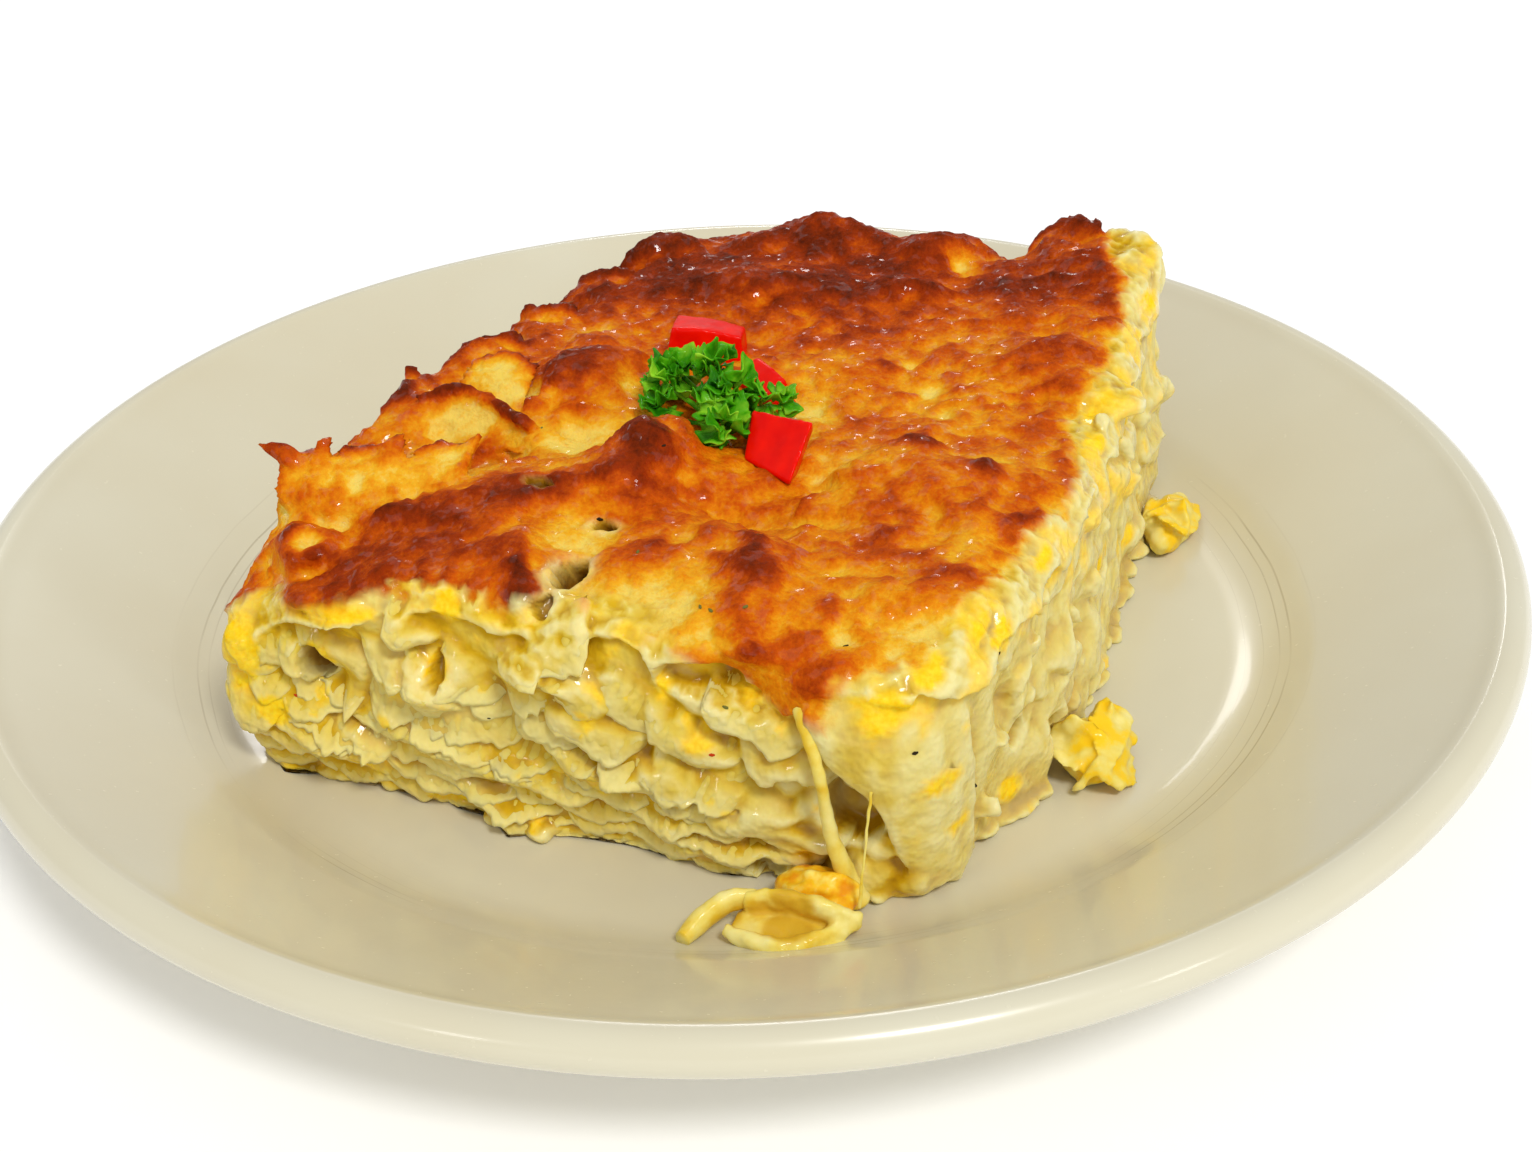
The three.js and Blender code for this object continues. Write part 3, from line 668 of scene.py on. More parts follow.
def strewn(name, part, places, turns, sizes, finish=None, seed=1, size_spread=0.0, turn_spread=0.0):
    """One copy of the part at each place. Both the part and the result are (points, faces)."""
    base_mesh = bpy.data.meshes.new(name + "_base")
    base_mesh.from_pydata(np.asarray(part[0]).tolist(), [], part[1])
    base = bpy.data.objects.new(name + "_base", base_mesh)
    cloud_mesh = bpy.data.meshes.new(name + "_places")
    cloud_mesh.from_pydata(np.asarray(places).tolist(), [], [])
    cloud_mesh.attributes.new("turn", "FLOAT_VECTOR", "POINT").data.foreach_set(
        "vector", np.asarray(turns, float).ravel()
    )
    cloud_mesh.attributes.new("size", "FLOAT", "POINT").data.foreach_set("value", np.asarray(sizes, float))
    cloud = bpy.data.objects.new(name + "_places", cloud_mesh)
    for work in (base, cloud):
        bpy.context.collection.objects.link(work)
    modifier = cloud.modifiers.new("strew", "NODES")
    modifier.node_group = STREWING
    values = {
        "Piece": base,
        "Size Spread": size_spread,
        "Turn Spread": turn_spread,
        "Seed": seed,
        "Finish": finish,
    }
    for item in STREWING.interface.items_tree:
        if item.name in values:
            modifier[item.identifier] = values[item.name]
    made = evaluated_mesh(cloud)
    arrays = mesh_arrays(made)
    for work in (base, cloud):
        bpy.data.objects.remove(work)
    for mesh in (base_mesh, cloud_mesh, made):
        bpy.data.meshes.remove(mesh)
    return arrays


# Most of what is random is drawn from here, in the order in which it is made.
draw = np.random.default_rng(11)
CRUST_SHELL_COUNT = 60
CRUST_SHELLS_APART = 10.0
CRUST_SHELL_KINDS = ((1.5, 19, 10), (1.9, 17, 9), (1.1, 21, 12))


def spread_points(count, low, high, apart, accept):
    """Random points in a box, each at least so far from the others."""
    found = []
    for _ in range(count * 60):
        point = draw.uniform(low, high)
        if accept(*point) and all(np.hypot(*(point - other)) > apart for other in found):
            found.append(point)
            if len(found) == count:
                break
    return np.array(found)


def over_plan(u, v, margin=4):
    """Whether the cut reaches so many grid steps further than (u, v) on all sides."""
    i, j = np.round((np.array([u, v]) - GRID_LOW) / GRID).astype(int)
    if not (margin <= i < GRID_SIZE[0] - margin and margin <= j < GRID_SIZE[1] - margin):
        return False
    return bool(over_cut[i - margin:i + margin + 1, j - margin:j + margin + 1].all())


def crust_shells():
    """Shells just under the crust, of a few kinds that differ in curl, length and width."""
    spots = spread_points(CRUST_SHELL_COUNT, (-58, -62), (58, 72), CRUST_SHELLS_APART, over_plan)
    parts = []
    for curl, length, width in CRUST_SHELL_KINDS:
        mine = spots[len(parts)::len(CRUST_SHELL_KINDS)]
        rise = crust_at(mine[:, 0], mine[:, 1]) + draw.uniform(-1.6, 0.9, len(mine))
        turns = np.column_stack([
            pi + draw.uniform(-0.45, 0.45, len(mine)),
            draw.uniform(-0.15, 0.15, len(mine)),
            draw.uniform(0, 2 * pi, len(mine)),
        ])
        places = np.column_stack([mine, rise])
        sizes = draw.uniform(0.7, 1.05, len(mine))
        parts.append(strewn("crust_shells", pasta_shell(length, width, curl), places, turns, sizes))
    return parts


# Brown and pale places of the crust, at (x, y) on the plate, with their half sizes and their share.
# The brown ones stand up and the pale ones are sunk.
BROWN_SPOTS = [
    (-13.3, -21.5, 3.0, 3.7, 0.45), (-14.0, -25.7, 7.0, 8.3, 0.25), (-28.2, -29.0, 6.5, 3.3, 0.3),
    (-43.9, -31.3, 8.6, 7.1, 0.3), (-63.3, -31.8, 8.0, 6.1, 0.1), (-71.5, -33.0, 3.2, 4.6, 0.12),
    (-43.9, 4.2, 5.0, 2.7, 0.35), (-33.9, -1.9, 4.6, 2.7, 0.2), (-24.3, 7.1, 5.0, 7.3, 0.3),
    (-45.0, 20.6, 3.9, 3.1, 0.3), (2.0, -53.0, 3.4, 5.6, 0.38), (0.9, -46.4, 1.9, 3.7, 0.2),
    (-3.6, -41.2, 2.8, 2.7, 0.15), (-29.8, -51.0, 2.2, 4.6, 0.34), (-13.1, -45.2, 5.4, 3.7, 0.28),
    (25.9, -19.6, 3.8, 3.9, 0.35), (22.5, -34.2, 5.6, 8.0, 0.15), (35.0, -28.9, 2.3, 3.3, 0.3),
    (38.4, -42.1, 5.5, 4.8, 0.25), (27.4, -55.1, 4.6, 3.1, 0.2), (49.4, 7.9, 6.3, 4.8, 0.22),
    (47.6, -28.2, 2.0, 11.0, 0.12), (10.9, -60.5, 1.8, 3.5, 0.2), (22.0, -48.4, 4.1, 2.7, 0.12),
    (-8.6, 44.3, 12.0, 10.0, 0.15), (21.6, 36.8, 15.0, 12.3, 0.2), (51.1, 31.9, 15.0, 6.5, 0.15),
    (-10.7, 59.4, 5.3, 4.8, 0.2), (12.3, 54.5, 14.0, 6.1, 0.12), (61.2, 22.7, 3.3, 9.6, 0.12),
    (62.0, 63.0, 4.0, 6.0, 0.25), (-24.0, 55.0, 3.5, 5.0, 0.1),
    (-58.0, -38.0, 10.0, 8.0, 0.16), (-48.0, -41.0, 10.0, 8.0, 0.18), (-36.0, -46.0, 8.0, 7.0, 0.14),
    # the burnt nubs of the edge shells
    (-56.7, -6.3, 2.2, 2.2, 0.3), (-49.9, -7.7, 2.2, 2.2, 0.3), (-38.4, -6.0, 2.2, 2.2, 0.25),
    (-67.0, -13.0, 2.6, 3.0, 0.3), (-53.0, 8.0, 2.6, 3.4, 0.6), (8.6, -67.0, 1.8, 4.0, 0.06),
    (-64.2, -29.0, 1.6, 2.6, 0.3),
]
PALE_SPOTS = [
    (-61.4, -31.6, 2.6, 2.4, -0.5),
    (-12.3, -56.2, 7.9, 6.6, -0.4), (-21.5, -40.6, 5.5, 8.4, -0.32), (14.0, -22.6, 4.6, 7.2, -0.22),
    (12.0, -4.2, 3.7, 5.2, -0.25), (5.7, 10.2, 5.4, 4.9, -0.1), (39.6, 44.5, 2.4, 3.3, -0.35),
    (-21.8, 28.2, 5.0, 3.3, -0.28), (-36.6, 7.1, 5.7, 7.9, -0.3), (-22.9, -7.3, 6.7, 5.2, -0.4),
    (-49.6, -17.7, 10.4, 5.2, -0.2), (28.0, 10.2, 1.6, 1.9, -0.3), (30.0, 1.1, 1.9, 2.1, -0.3),
    (20.4, -67.5, 6.4, 8.8, -0.3), (-5.8, -64.4, 3.9, 3.4, -0.25), (14.1, -33.9, 5.6, 4.4, -0.1),
    (46.2, 46.0, 5.2, 3.3, -0.12), (-43.9, -0.2, 3.1, 3.0, -0.25), (31.4, -66.6, 2.1, 2.9, -0.25),
    (25.8, -3.4, 6.1, 4.0, -0.1),
]


def spot_share(points):
    """How much browner, or paler below 0, the spots make the crust at each point."""
    x, y = turned(points, CUT_FRAME)[:, :2].T
    total = np.zeros(len(points))
    for spot_x, spot_y, wide, high, share in BROWN_SPOTS + PALE_SPOTS:
        total += share * np.exp(-(((x - spot_x) / wide) ** 2) - ((y - spot_y) / high) ** 2)
    return total


# Valleys round the shells at the left edge, at (u, v), with their half sizes and how deep they are.
VALLEYS = [
    (-46, -46.5, 5, 2.2, 2.0), (-36, -42.5, 5, 2.2, 2.0), (-53, -31.0, 5, 4.4, 7.0),
    (-45, -27.5, 5, 4.4, 7.0), (-37, -25.0, 5, 4.0, 6.0), (-30, -23.0, 4, 3.4, 4.5),
    (-38, -19.5, 6, 2.4, 3.0), (-46, -39.5, 6, 4.0, 2.6), (-36, -36.0, 6, 4.0, 2.6),
    (-45, -9.0, 4, 3.0, 3.0), (-33, -8.0, 4, 4.0, 1.5),
    (-45, 11.0, 4, 3.2, 3.5), (-42, 27.0, 4, 3.2, 3.5), (-38, 43.0, 4, 3.2, 3.5),
    (10, -30.0, 7, 3.0, 2.0), (24, -36.0, 8, 3.0, 1.6), (22, 64.0, 5, 4.0, 3.0),
]
SPOT_LIFT = 4.6


def crust_relief(points):
    """How far the melted crust stands above the smoothed solid."""
    u, v = points[:, 0], points[:, 1]
    rise = SPOT_LIFT * np.clip(spot_share(points), -0.5, 0.6)
    rise += 1.1 * (0.5 - np.abs(grain(points, 15.0, 71))) + 0.8 * (0.5 - np.abs(grain(points, 7.0, 72)))
    for at_u, at_v, wide, high, deep in VALLEYS:
        rise -= deep * np.exp(-(((u - at_u) / wide) ** 2) - ((v - at_v) / high) ** 2)
    return rise


core = (core_points, [tuple(face) for face in core_faces])
top_points, top_faces = fused([core, *crust_shells()], CORE_CELL)
top_edges = edge_pairs(top_faces)
top_points = relaxed(top_points, top_edges, 4)
top_normals = normals_of(top_points, top_faces)
on_top = ease(top_points[:, 2] - crust_at(top_points[:, 0], top_points[:, 1]), -7, -2)
top_points[:, 2] += on_top * crust_relief(top_points)
SIDE_RECESS = 1.2
side_pull = (1 - on_top) * ease(top_points[:, 2], 1, 4) * SIDE_RECESS
top_points[:, :2] -= side_pull[:, None] * top_normals[:, :2]


# The knife opened layer on layer of shells. On the cut faces their walls hang out of the sauce like
# clapboards, each lower edge toothed by the shell's ribs, with a yellow gap in its shade.
SUNK = 2.0
CHIP_PITCH = 0.75
WALL_CELL = 0.45


def wall_grids(
    s, z, length, drop, stand, tilt=0.0, teeth=0.6, bow=0.4, seed=0, wall=1.4, cell=WALL_CELL, ribs=0.0
):
    """The outer and inner points of a wall that stands out of the side.

    Its top edge is sunk at (s, z), and its lower edge is toothed and chipped.
    """
    columns, rows = max(12, int(length / cell)), max(6, int(drop / (1.5 * cell)) + 2)
    shape = np.random.default_rng(seed)
    phase, bend = shape.uniform(0, 2 * pi, 2)
    x = np.linspace(-0.5, 0.5, columns)[:, None] * length
    knots = np.arange(-length / 2, length / 2 + 2 * CHIP_PITCH, CHIP_PITCH)
    chips = np.interp(x[:, 0], knots, shape.uniform(-1, 1, len(knots)))
    t = np.linspace(0, 1, rows)[None, :]
    ends = np.clip((length / 2 - np.abs(x)) / 3.5, 0, 1) ** 0.5
    edge = 0.45 * teeth * (np.abs(np.sin(pi * x / RIB_PITCH + phase)) - 0.5)
    edge = edge + 1.3 * teeth * np.sin(0.55 * x + bend) + 0.6 * teeth * chips[:, None]
    down = -t * (drop * (0.35 + 0.65 * ends) + edge * ends)
    out = (stand + SUNK) * t**0.6 * (0.3 + 0.7 * ends) - SUNK
    out = out + bow * np.sin(pi * t) + 0.35 * np.sin(0.45 * x + bend) * t
    angle = radians(tilt)
    along = s + x * cos(angle) - down * sin(angle)
    up = np.maximum(z + x * sin(angle) + down * cos(angle), 0.3)
    half = wall / 2 * (1 - 0.5 * t * t) + 0 * x
    rib = ribs * np.cos(2 * pi * x / RIB_PITCH + phase) * np.sin(pi * t)
    return at_side(along, up, out + half + rib), at_side(along, up, out - half)


# Rows of walls: from s to s, lowest and highest row at either end, pitch of the rows, lengths, how
# far the edges stand out, and how much a wall leans along the side.
FRONT_LEFT = s_near(-57, -61.4)
FRONT_RIGHT = s_near(26, -61.6)
RIGHT_START = s_near(57.5, -40)
RIGHT_END = s_near(52, 64)
BACK_START = s_near(46, 69.6)
BACK_END = s_near(-33, 64.8)
LEFT_START = s_near(-39, 58)
LEFT_END = s_near(-57, -55) + PLAN_LENGTH * (s_near(-57, -55) < s_near(-39, 58))
WALL_ROWS = [
    (FRONT_LEFT, FRONT_RIGHT, (2.4, 18.5), (2.4, 12.5), 2.5, (10, 26), (0.1, 1.5), (-5, 2)),
    (FRONT_LEFT + 4, FRONT_RIGHT, (21.0, 26.0), (14.5, 30.0), 4.6, (8, 16), (0.2, 1.9), (-40, 0)),
    (RIGHT_START, RIGHT_END, (3.0, 36.0), (3.0, 38.0), 5.6, (7, 16), (-1.4, -0.1), (-30, 30)),
    (BACK_START, BACK_END, (2.6, 33.0), (2.6, 31.0), 3.6, (10, 24), (0.0, 1.4), (-14, 14)),
    (LEFT_START, LEFT_END, (4.0, 30.0), (4.0, 24.0), 5.0, (12, 24), (-0.8, 0.4), (-12, 12)),
]


def walls_in_rows():
    """The walls of all rows, each as the values that wall_grids takes."""
    walls = []
    for start, end, begin, finish, pitch, lengths, stands, tilts in WALL_ROWS:
        count = max(2, round(max(begin[1] - begin[0], finish[1] - finish[0]) / pitch))
        for row in range(count + 1):
            share = row / count
            heights = [low + (high - low) * share for low, high in (begin, finish)]
            s = start - draw.uniform(0, 6)
            while s < end:
                length = draw.uniform(*lengths)
                middle = s + length / 2
                height = np.interp(middle, (start, end), heights)
                walls.append(dict(
                    s=middle,
                    z=height + draw.uniform(-0.8, 0.8),
                    length=length,
                    drop=pitch * draw.uniform(1.15, 1.6),
                    stand=draw.uniform(*stands),
                    tilt=draw.uniform(*tilts),
                    teeth=draw.uniform(0.35, 0.8),
                    seed=int(draw.integers(1 << 30)),
                ))
                s += length * draw.uniform(0.7, 1.0)
    return walls


# Walls that show one by one: at (u, v, z) of the top edge's middle, length, drop, stand, lean, teeth.
SHOWN_WALLS = [
    (-33.5, -61.4, 26.0, 5.5, 13.0, 2.4, -8, 0.2),  # beside the dark hollow
    (-26.0, -61.4, 27.5, 7.0, 6.5, 2.4, 0, 0.2),  # a loop of cheese sauce
    (-22.0, -61.4, 33.0, 9.0, 4.5, 2.2, -35, 0.8),  # lip of the open shell
    (-19.5, -61.4, 25.0, 13.0, 4.0, 2.0, -42, 0.9),
    (-14.5, -61.4, 29.0, 8.0, 8.5, 1.8, -30, 0.3),
    (-4.5, -61.4, 34.5, 15.0, 6.5, 2.8, 34, 0.9),  # the big shell, opened like a fan
    (-6.0, -61.4, 28.5, 11.0, 6.0, 2.0, 10, 0.9),
    (3.5, -61.4, 30.0, 11.0, 7.0, 2.0, -30, 0.5),
    (5.0, -61.4, 24.8, 16.0, 6.5, 2.8, -14, 0.4),  # the big flake
    (17.5, -61.4, 25.6, 12.0, 5.5, 2.0, -30, 0.4),
    (20.5, -61.6, 23.5, 11.0, 4.5, 1.8, -38, 0.6),
    (19.5, -61.6, 19.5, 14.0, 7.5, 2.6, -22, 1.1),  # ribbed fingers
    (12.5, -61.4, 19.0, 8.0, 5.0, 2.2, -10, 0.8),
    (-32.0, -61.4, 12.8, 10.0, 4.0, 2.2, -18, 1.0),
    (-51.0, -61.4, 17.0, 12.0, 8.0, 1.6, 4, 0.6),
    (56.6, -4.0, 35.0, 12.0, 5.0, 1.6, 12, 0.5),
    (55.6, 26.0, 31.0, 11.0, 5.0, 1.4, -14, 0.5),
    (57.5, -26.0, 24.0, 10.0, 6.0, 1.4, 18, 0.4),
]


WALLS = walls_in_rows() + [
    dict(zip(
        ("s", "z", "length", "drop", "stand", "tilt", "teeth", "seed", "bow", "wall"),
        (s_near(u, v), *shape, number, 0.9, 1.8),
    ))
    for number, (u, v, *shape) in enumerate(SHOWN_WALLS)
]


# Melted cheese runs over the upper edge of the cut and hangs down its faces in a ragged skirt.
# Its lower edge on the front face, as (u, z).
SKIRT_FRONT = [
    (-58, 17.0), (-53, 21.5), (-44, 27.5), (-38, 29.0), (-32, 31.0), (-26, 32.5), (-20, 34.0),
    (-14, 33.5), (-9, 32.5), (-5, 35.0), (0, 36.0), (4, 34.6), (8, 35.2), (11.5, 34.0), (13, 29.5),
    (15, 33.6), (19, 33.4), (23, 31.6), (27, 30.4), (30, 29.0), (32.5, 29.0), (35, 32.5), (39, 33.0),
    (47, 32.5),
]


SKIRT_STRIP = 58
SKIRT_LAP = 3


def skirt():
    """The skirt in strips that lap over each other, all round the plan."""
    parts = []
    for start in range(0, PLAN_LENGTH, SKIRT_STRIP):
        end = min(start + SKIRT_STRIP, PLAN_LENGTH)
        s = np.arange(start - SKIRT_LAP, end + SKIRT_LAP, 0.8)[:, None]
        t = np.linspace(0, 1, 12)[None, :]
        edge = at_side(s[:, 0], np.full(len(s), 30.0), np.full(len(s), -2.6))
        top = crust_at(edge[:, 0], edge[:, 1]) - 0.9
        lots = np.column_stack([s[:, 0], 0 * top, 0 * top])
        drop = 3.0 + 2.4 * grain(lots, 7.0, 21) + 1.3 * grain(lots, 2.6, 22)
        low = top - np.clip(drop, 1.2, 9.0)
        front = (edge[:, 1] < -56) & (edge[:, 0] < 47)
        named = np.interp(edge[:, 0], *zip(*SKIRT_FRONT)) + 0.5 * grain(lots, 2.0, 23)
        low = np.where(front, np.minimum(named, top - 1.2), low)[:, None]
        z = top[:, None] * (1 - t) + low * t
        wave = 0.45 * grain(lots, 5.0, 24)[:, None]
        out = -2.6 + (3.3 + wave) * np.sin(pi / 2 * t**0.6)
        half = 0.75 * (1 - 0.35 * t)
        parts.append(thick_sheet(at_side(s + 0 * t, z, out + half), at_side(s + 0 * t, z, out - half)))
    return parts


# Shells at the crust's left edge lay against the tin and baked hard. Each wall that shows runs
# between a low and a high line and bulges towards the side that is seen.
def smooth_line(points, count):
    """A rounded line through a few points."""
    points = np.array(points, float)
    padded = np.vstack([2 * points[0] - points[1], points, 2 * points[-1] - points[-2]])
    at = np.linspace(0, len(points) - 1, count)
    k = np.minimum(at.astype(int), len(points) - 2)
    t = (at - k)[:, None]
    a, b, c, d = (padded[k + j] for j in range(4))
    return 0.5 * (2 * b + (c - a) * t + (2 * a - 5 * b + 4 * c - d) * t**2 + (3 * b - a - 3 * c + d) * t**3)


def edge_wall(low, high, bulge, towards=(-0.35, -0.94), wall=1.8, nubs=0.0, ribs=0.35, rows=12):
    """A wall from the low to the high line, with ribs across it and nubs along its upper lip."""
    reach = np.linalg.norm(np.diff(np.array(low, float), axis=0), axis=1).sum()
    columns = max(12, int(reach / 0.6))
    low_line, high_line = smooth_line(low, columns)[:, None], smooth_line(high, columns)[:, None]
    t = np.linspace(0, 1, rows)[None, :, None]
    along = np.linspace(0, reach, columns)[:, None, None]
    side = np.array([*towards, 0.0])
    crest = nubs * np.clip(np.cos(2 * pi * along / 9.5 + 0.8), 0, 1) ** 1.6 * t**3
    middle = low_line * (1 - t) + high_line * t + bulge * np.sin(pi * t**0.9) * side
    middle = middle + crest * np.array([0, 0, 1.0])
    rib = ribs * np.cos(2 * pi * along / RIB_PITCH) * np.sin(pi * np.clip(t * 1.15, 0, 1))
    half = wall / 2 * (1 - 0.15 * t**3)
    return thick_sheet(middle + (half + rib) * side, middle - half * side)


EDGE_WALLS = [
    # the ribbed back of the longest shell, from the spike at the corner
    dict(
        low=[(-51.5, -43.5, 33.0), (-43.5, -44.6, 34.0), (-35.5, -42.0, 35.0), (-27.0, -37.0, 36.0)],
        high=[(-55.5, -39.0, 40.2), (-51.0, -37.2, 40.8), (-45.5, -35.0, 41.0), (-37.5, -31.5, 40.9),
              (-29.0, -28.0, 41.2)],
        bulge=2.4, nubs=1.6, ribs=0.4, wall=2.4,
    ),
    dict(
        low=[(-55.0, -43.0, 31.0), (-50.0, -47.0, 31.0), (-46.0, -50.0, 31.0)],
        high=[(-55.0, -39.5, 36.4), (-50.5, -44.0, 34.8), (-46.5, -48.5, 33.2)],
        bulge=0.8, towards=(-0.8, -0.6), wall=1.6,
    ),
    # the second shell: a dark lip that arches over a yellow hollow
    dict(
        low=[(-46.0, -19.5, 34.0), (-40.0, -19.0, 34.5), (-33.0, -19.0, 35.0), (-27.0, -20.0, 35.5)],
        high=[(-46.5, -16.0, 40.4), (-41.5, -13.0, 41.4), (-34.5, -14.0, 40.6), (-26.0, -18.5, 39.0)],
        bulge=-1.8, nubs=0.5, ribs=0.15,
    ),
    # the smooth pale shell behind it
    dict(
        low=[(-40.5, -13.0, 37.0), (-35.0, -12.5, 37.0), (-29.0, -13.0, 36.0)],
        high=[(-42.0, -4.0, 41.6), (-36.5, -2.0, 42.6), (-31.0, -4.0, 42.0)],
        bulge=2.2, ribs=0.12,
    ),
    # ribs at its right end
    dict(
        low=[(-29.0, -15.0, 36.0), (-27.0, -11.0, 36.5), (-27.0, -7.0, 37.0)],
        high=[(-30.0, -12.0, 40.0), (-28.5, -8.0, 40.6), (-29.0, -4.0, 40.6)],
        bulge=0.9, ribs=0.4, towards=(0.6, -0.8),
    ),
    # burnt tips and lips further back
    dict(
        low=[(-52.5, -7.0, 31.0), (-50.0, -10.0, 33.0), (-46.0, -12.0, 34.0)],
        high=[(-54.0, -4.5, 38.8), (-50.0, -7.0, 38.4), (-45.5, -10.0, 37.8)],
        bulge=0.8, nubs=0.6, towards=(-0.6, -0.8),
    ),
    dict(
        low=[(-50.5, 2.0, 31.0), (-46.0, 4.0, 34.0), (-41.0, 4.0, 35.0)],
        high=[(-49.5, 6.0, 38.4), (-45.0, 8.0, 39.6), (-40.0, 8.5, 39.0)],
        bulge=1.6, nubs=1.0,
    ),
    dict(
        low=[(-47.0, 18.0, 31.0), (-43.0, 17.0, 34.0), (-38.0, 18.0, 35.0)],
        high=[(-46.0, 22.0, 38.6), (-42.0, 21.5, 39.6), (-37.0, 23.0, 39.2)],
        bulge=1.8, nubs=0.8,
    ),
    dict(
        low=[(-43.5, 34.0, 30.0), (-40.0, 33.0, 33.0), (-35.0, 34.0, 35.0)],
        high=[(-43.0, 38.0, 38.0), (-39.0, 38.0, 39.4), (-34.0, 39.0, 39.0)],
        bulge=1.8, nubs=0.8,
    ),
    dict(
        low=[(-40.5, 48.0, 29.0), (-37.0, 46.0, 33.0), (-32.0, 47.0, 35.0)],
        high=[(-40.0, 52.0, 37.0), (-36.0, 51.0, 38.6), (-31.0, 52.0, 38.4)],
        bulge=1.6, nubs=0.8,
    ),
    # the curl at the far corner, with its dark knob and spike
    dict(
        low=[(28.0, 64.0, 37.0), (34.0, 66.0, 39.0), (41.0, 65.0, 40.0)],
        high=[(29.0, 67.5, 42.0), (34.5, 69.0, 45.4), (41.0, 66.5, 46.6)],
        bulge=2.2, nubs=0.0, ribs=0.05, towards=(0.1, -1.0), wall=2.4,
    ),
    # the pale shell that sticks out beside it
    dict(
        low=[(41.0, 61.5, 38.0), (47.0, 62.0, 38.5), (52.5, 60.0, 39.0)],
        high=[(41.0, 65.0, 44.0), (47.0, 66.0, 45.4), (52.0, 64.0, 44.4)],
        bulge=2.4, ribs=0.12, towards=(0.2, -1.0), wall=2.4,
    ),
    # the sheet of melted cheese that hangs from the crust to the foot of the near corner
    dict(
        low=[(33.2, -62.8, 28.8), (36.2, -63.2, 23.6), (39.8, -63.4, 20.4), (43.0, -63.0, 17.6),
             (44.8, -62.4, 13.6), (45.8, -61.6, 9.6), (46.8, -60.2, 5.0), (47.6, -57.6, 0.8)],
        high=[(32.7, -61.2, 31.8), (37.6, -60.8, 34.2), (42.1, -60.0, 35.0), (45.4, -58.0, 35.4),
              (49.0, -56.2, 35.0), (51.6, -54.0, 31.0), (53.2, -52.0, 21.0), (53.4, -50.6, 3.0)],
        bulge=2.0, ribs=0.0, towards=(0.45, -0.89), wall=2.2, rows=26,
    ),
]
SPIKE = [(-50.5, -39.5, 36.5), (-54.5, -40.0, 40.4), (-58.6, -41.0, 42.4)]
SPIKE_RADII = (2.2, 1.5, 0.35)


# Sauce and melted cheese that fill and cover: soft lumps at (u, v, z), with their half sizes.
DRAPES = [
    ((48.0, -55.0, 17), (4.6, 4.0, 13)),
    ((42.0, -60.2, 4.2), (4.4, 2.4, 4.6)),
    ((43.8, -60.6, 9.0), (2.6, 1.8, 2.2)),
    ((46.6, -58.4, 3.2), (3.8, 2.8, 3.6)),
    ((50.5, -54.0, 3.0), (2.8, 2.4, 3.2)),
    ((38.4, -60.6, 15.0), (1.8, 1.4, 0.8)),
    ((30.5, -60.2, 17), (2.6, 2.2, 3.2)),
    ((32.5, -60.6, 12.5), (2.3, 2.0, 3.0)),
    ((29.0, -60.6, 9.0), (2.2, 2.0, 2.6)),
    ((30.8, -60.8, 5.0), (2.6, 2.0, 2.4)),
    ((34.8, -60.6, 7.5), (2.4, 2.0, 2.8)),
]


def skin_over(rings, start, end):
    """A closed skin over rings of points, with one more point at either end."""
    count, around = rings.shape[:2]
    points = np.vstack([rings.reshape(-1, 3), [start], [end]])
    faces = []
    for ring in range(count - 1):
        for k in range(around):
            a, b = ring * around + k, ring * around + (k + 1) % around
            faces.append((a, a + around, b + around, b))
    first, last = count * around, (count - 1) * around
    for k in range(around):
        faces.append((first, k, (k + 1) % around))
        faces.append((first + 1, last + (k + 1) % around, last + k))
    return points, faces


def soft_lump(centre, half, seed, bulge=0.16, around=28, rings=18):
    """A rounded lump with an uneven skin."""
    turn = np.arange(around) * 2 * pi / around
    tilt = np.linspace(0, pi, rings + 1)[1:-1, None]
    across, along = np.sin(tilt) * np.cos(turn), np.sin(tilt) * np.sin(turn)
    body = np.stack([across, along, np.cos(tilt) + 0 * turn], axis=-1)
    points, faces = skin_over(body, (0, 0, 1), (0, 0, -1))
    points *= (1 + bulge * grain(points, 0.8, seed))[:, None]
    return points * np.array(half) + np.array(centre), faces


def tube(line, wide, high=None, lean=(0.31, 0.95, 0.05), around=12, steps=16):
    """A closed tube through a few points, round or as high as is said along the way it leans."""
    middle = smooth_line(line, steps)
    at = np.linspace(0, 1, steps)
    wide = np.interp(at, np.linspace(0, 1, len(wide)), wide)[:, None, None]
    high = wide if high is None else np.interp(at, np.linspace(0, 1, len(high)), high)[:, None, None]
    ways = unit_rows(np.gradient(middle, axis=0))
    side = unit_rows(np.cross(ways, lean))
    up = np.cross(side, ways)
    turn = (np.arange(around) * 2 * pi / around)[None, :, None]
    rings = middle[:, None] + wide * np.cos(turn) * side[:, None] + high * np.sin(turn) * up[:, None]
    return skin_over(rings, middle[0], middle[-1])


SAUCED_SIDES = ((45, s_near(54, -48), RIGHT_END, 31), (40, BACK_START, BACK_END, 32))
FOOT_LUMPS_APART = 2.6


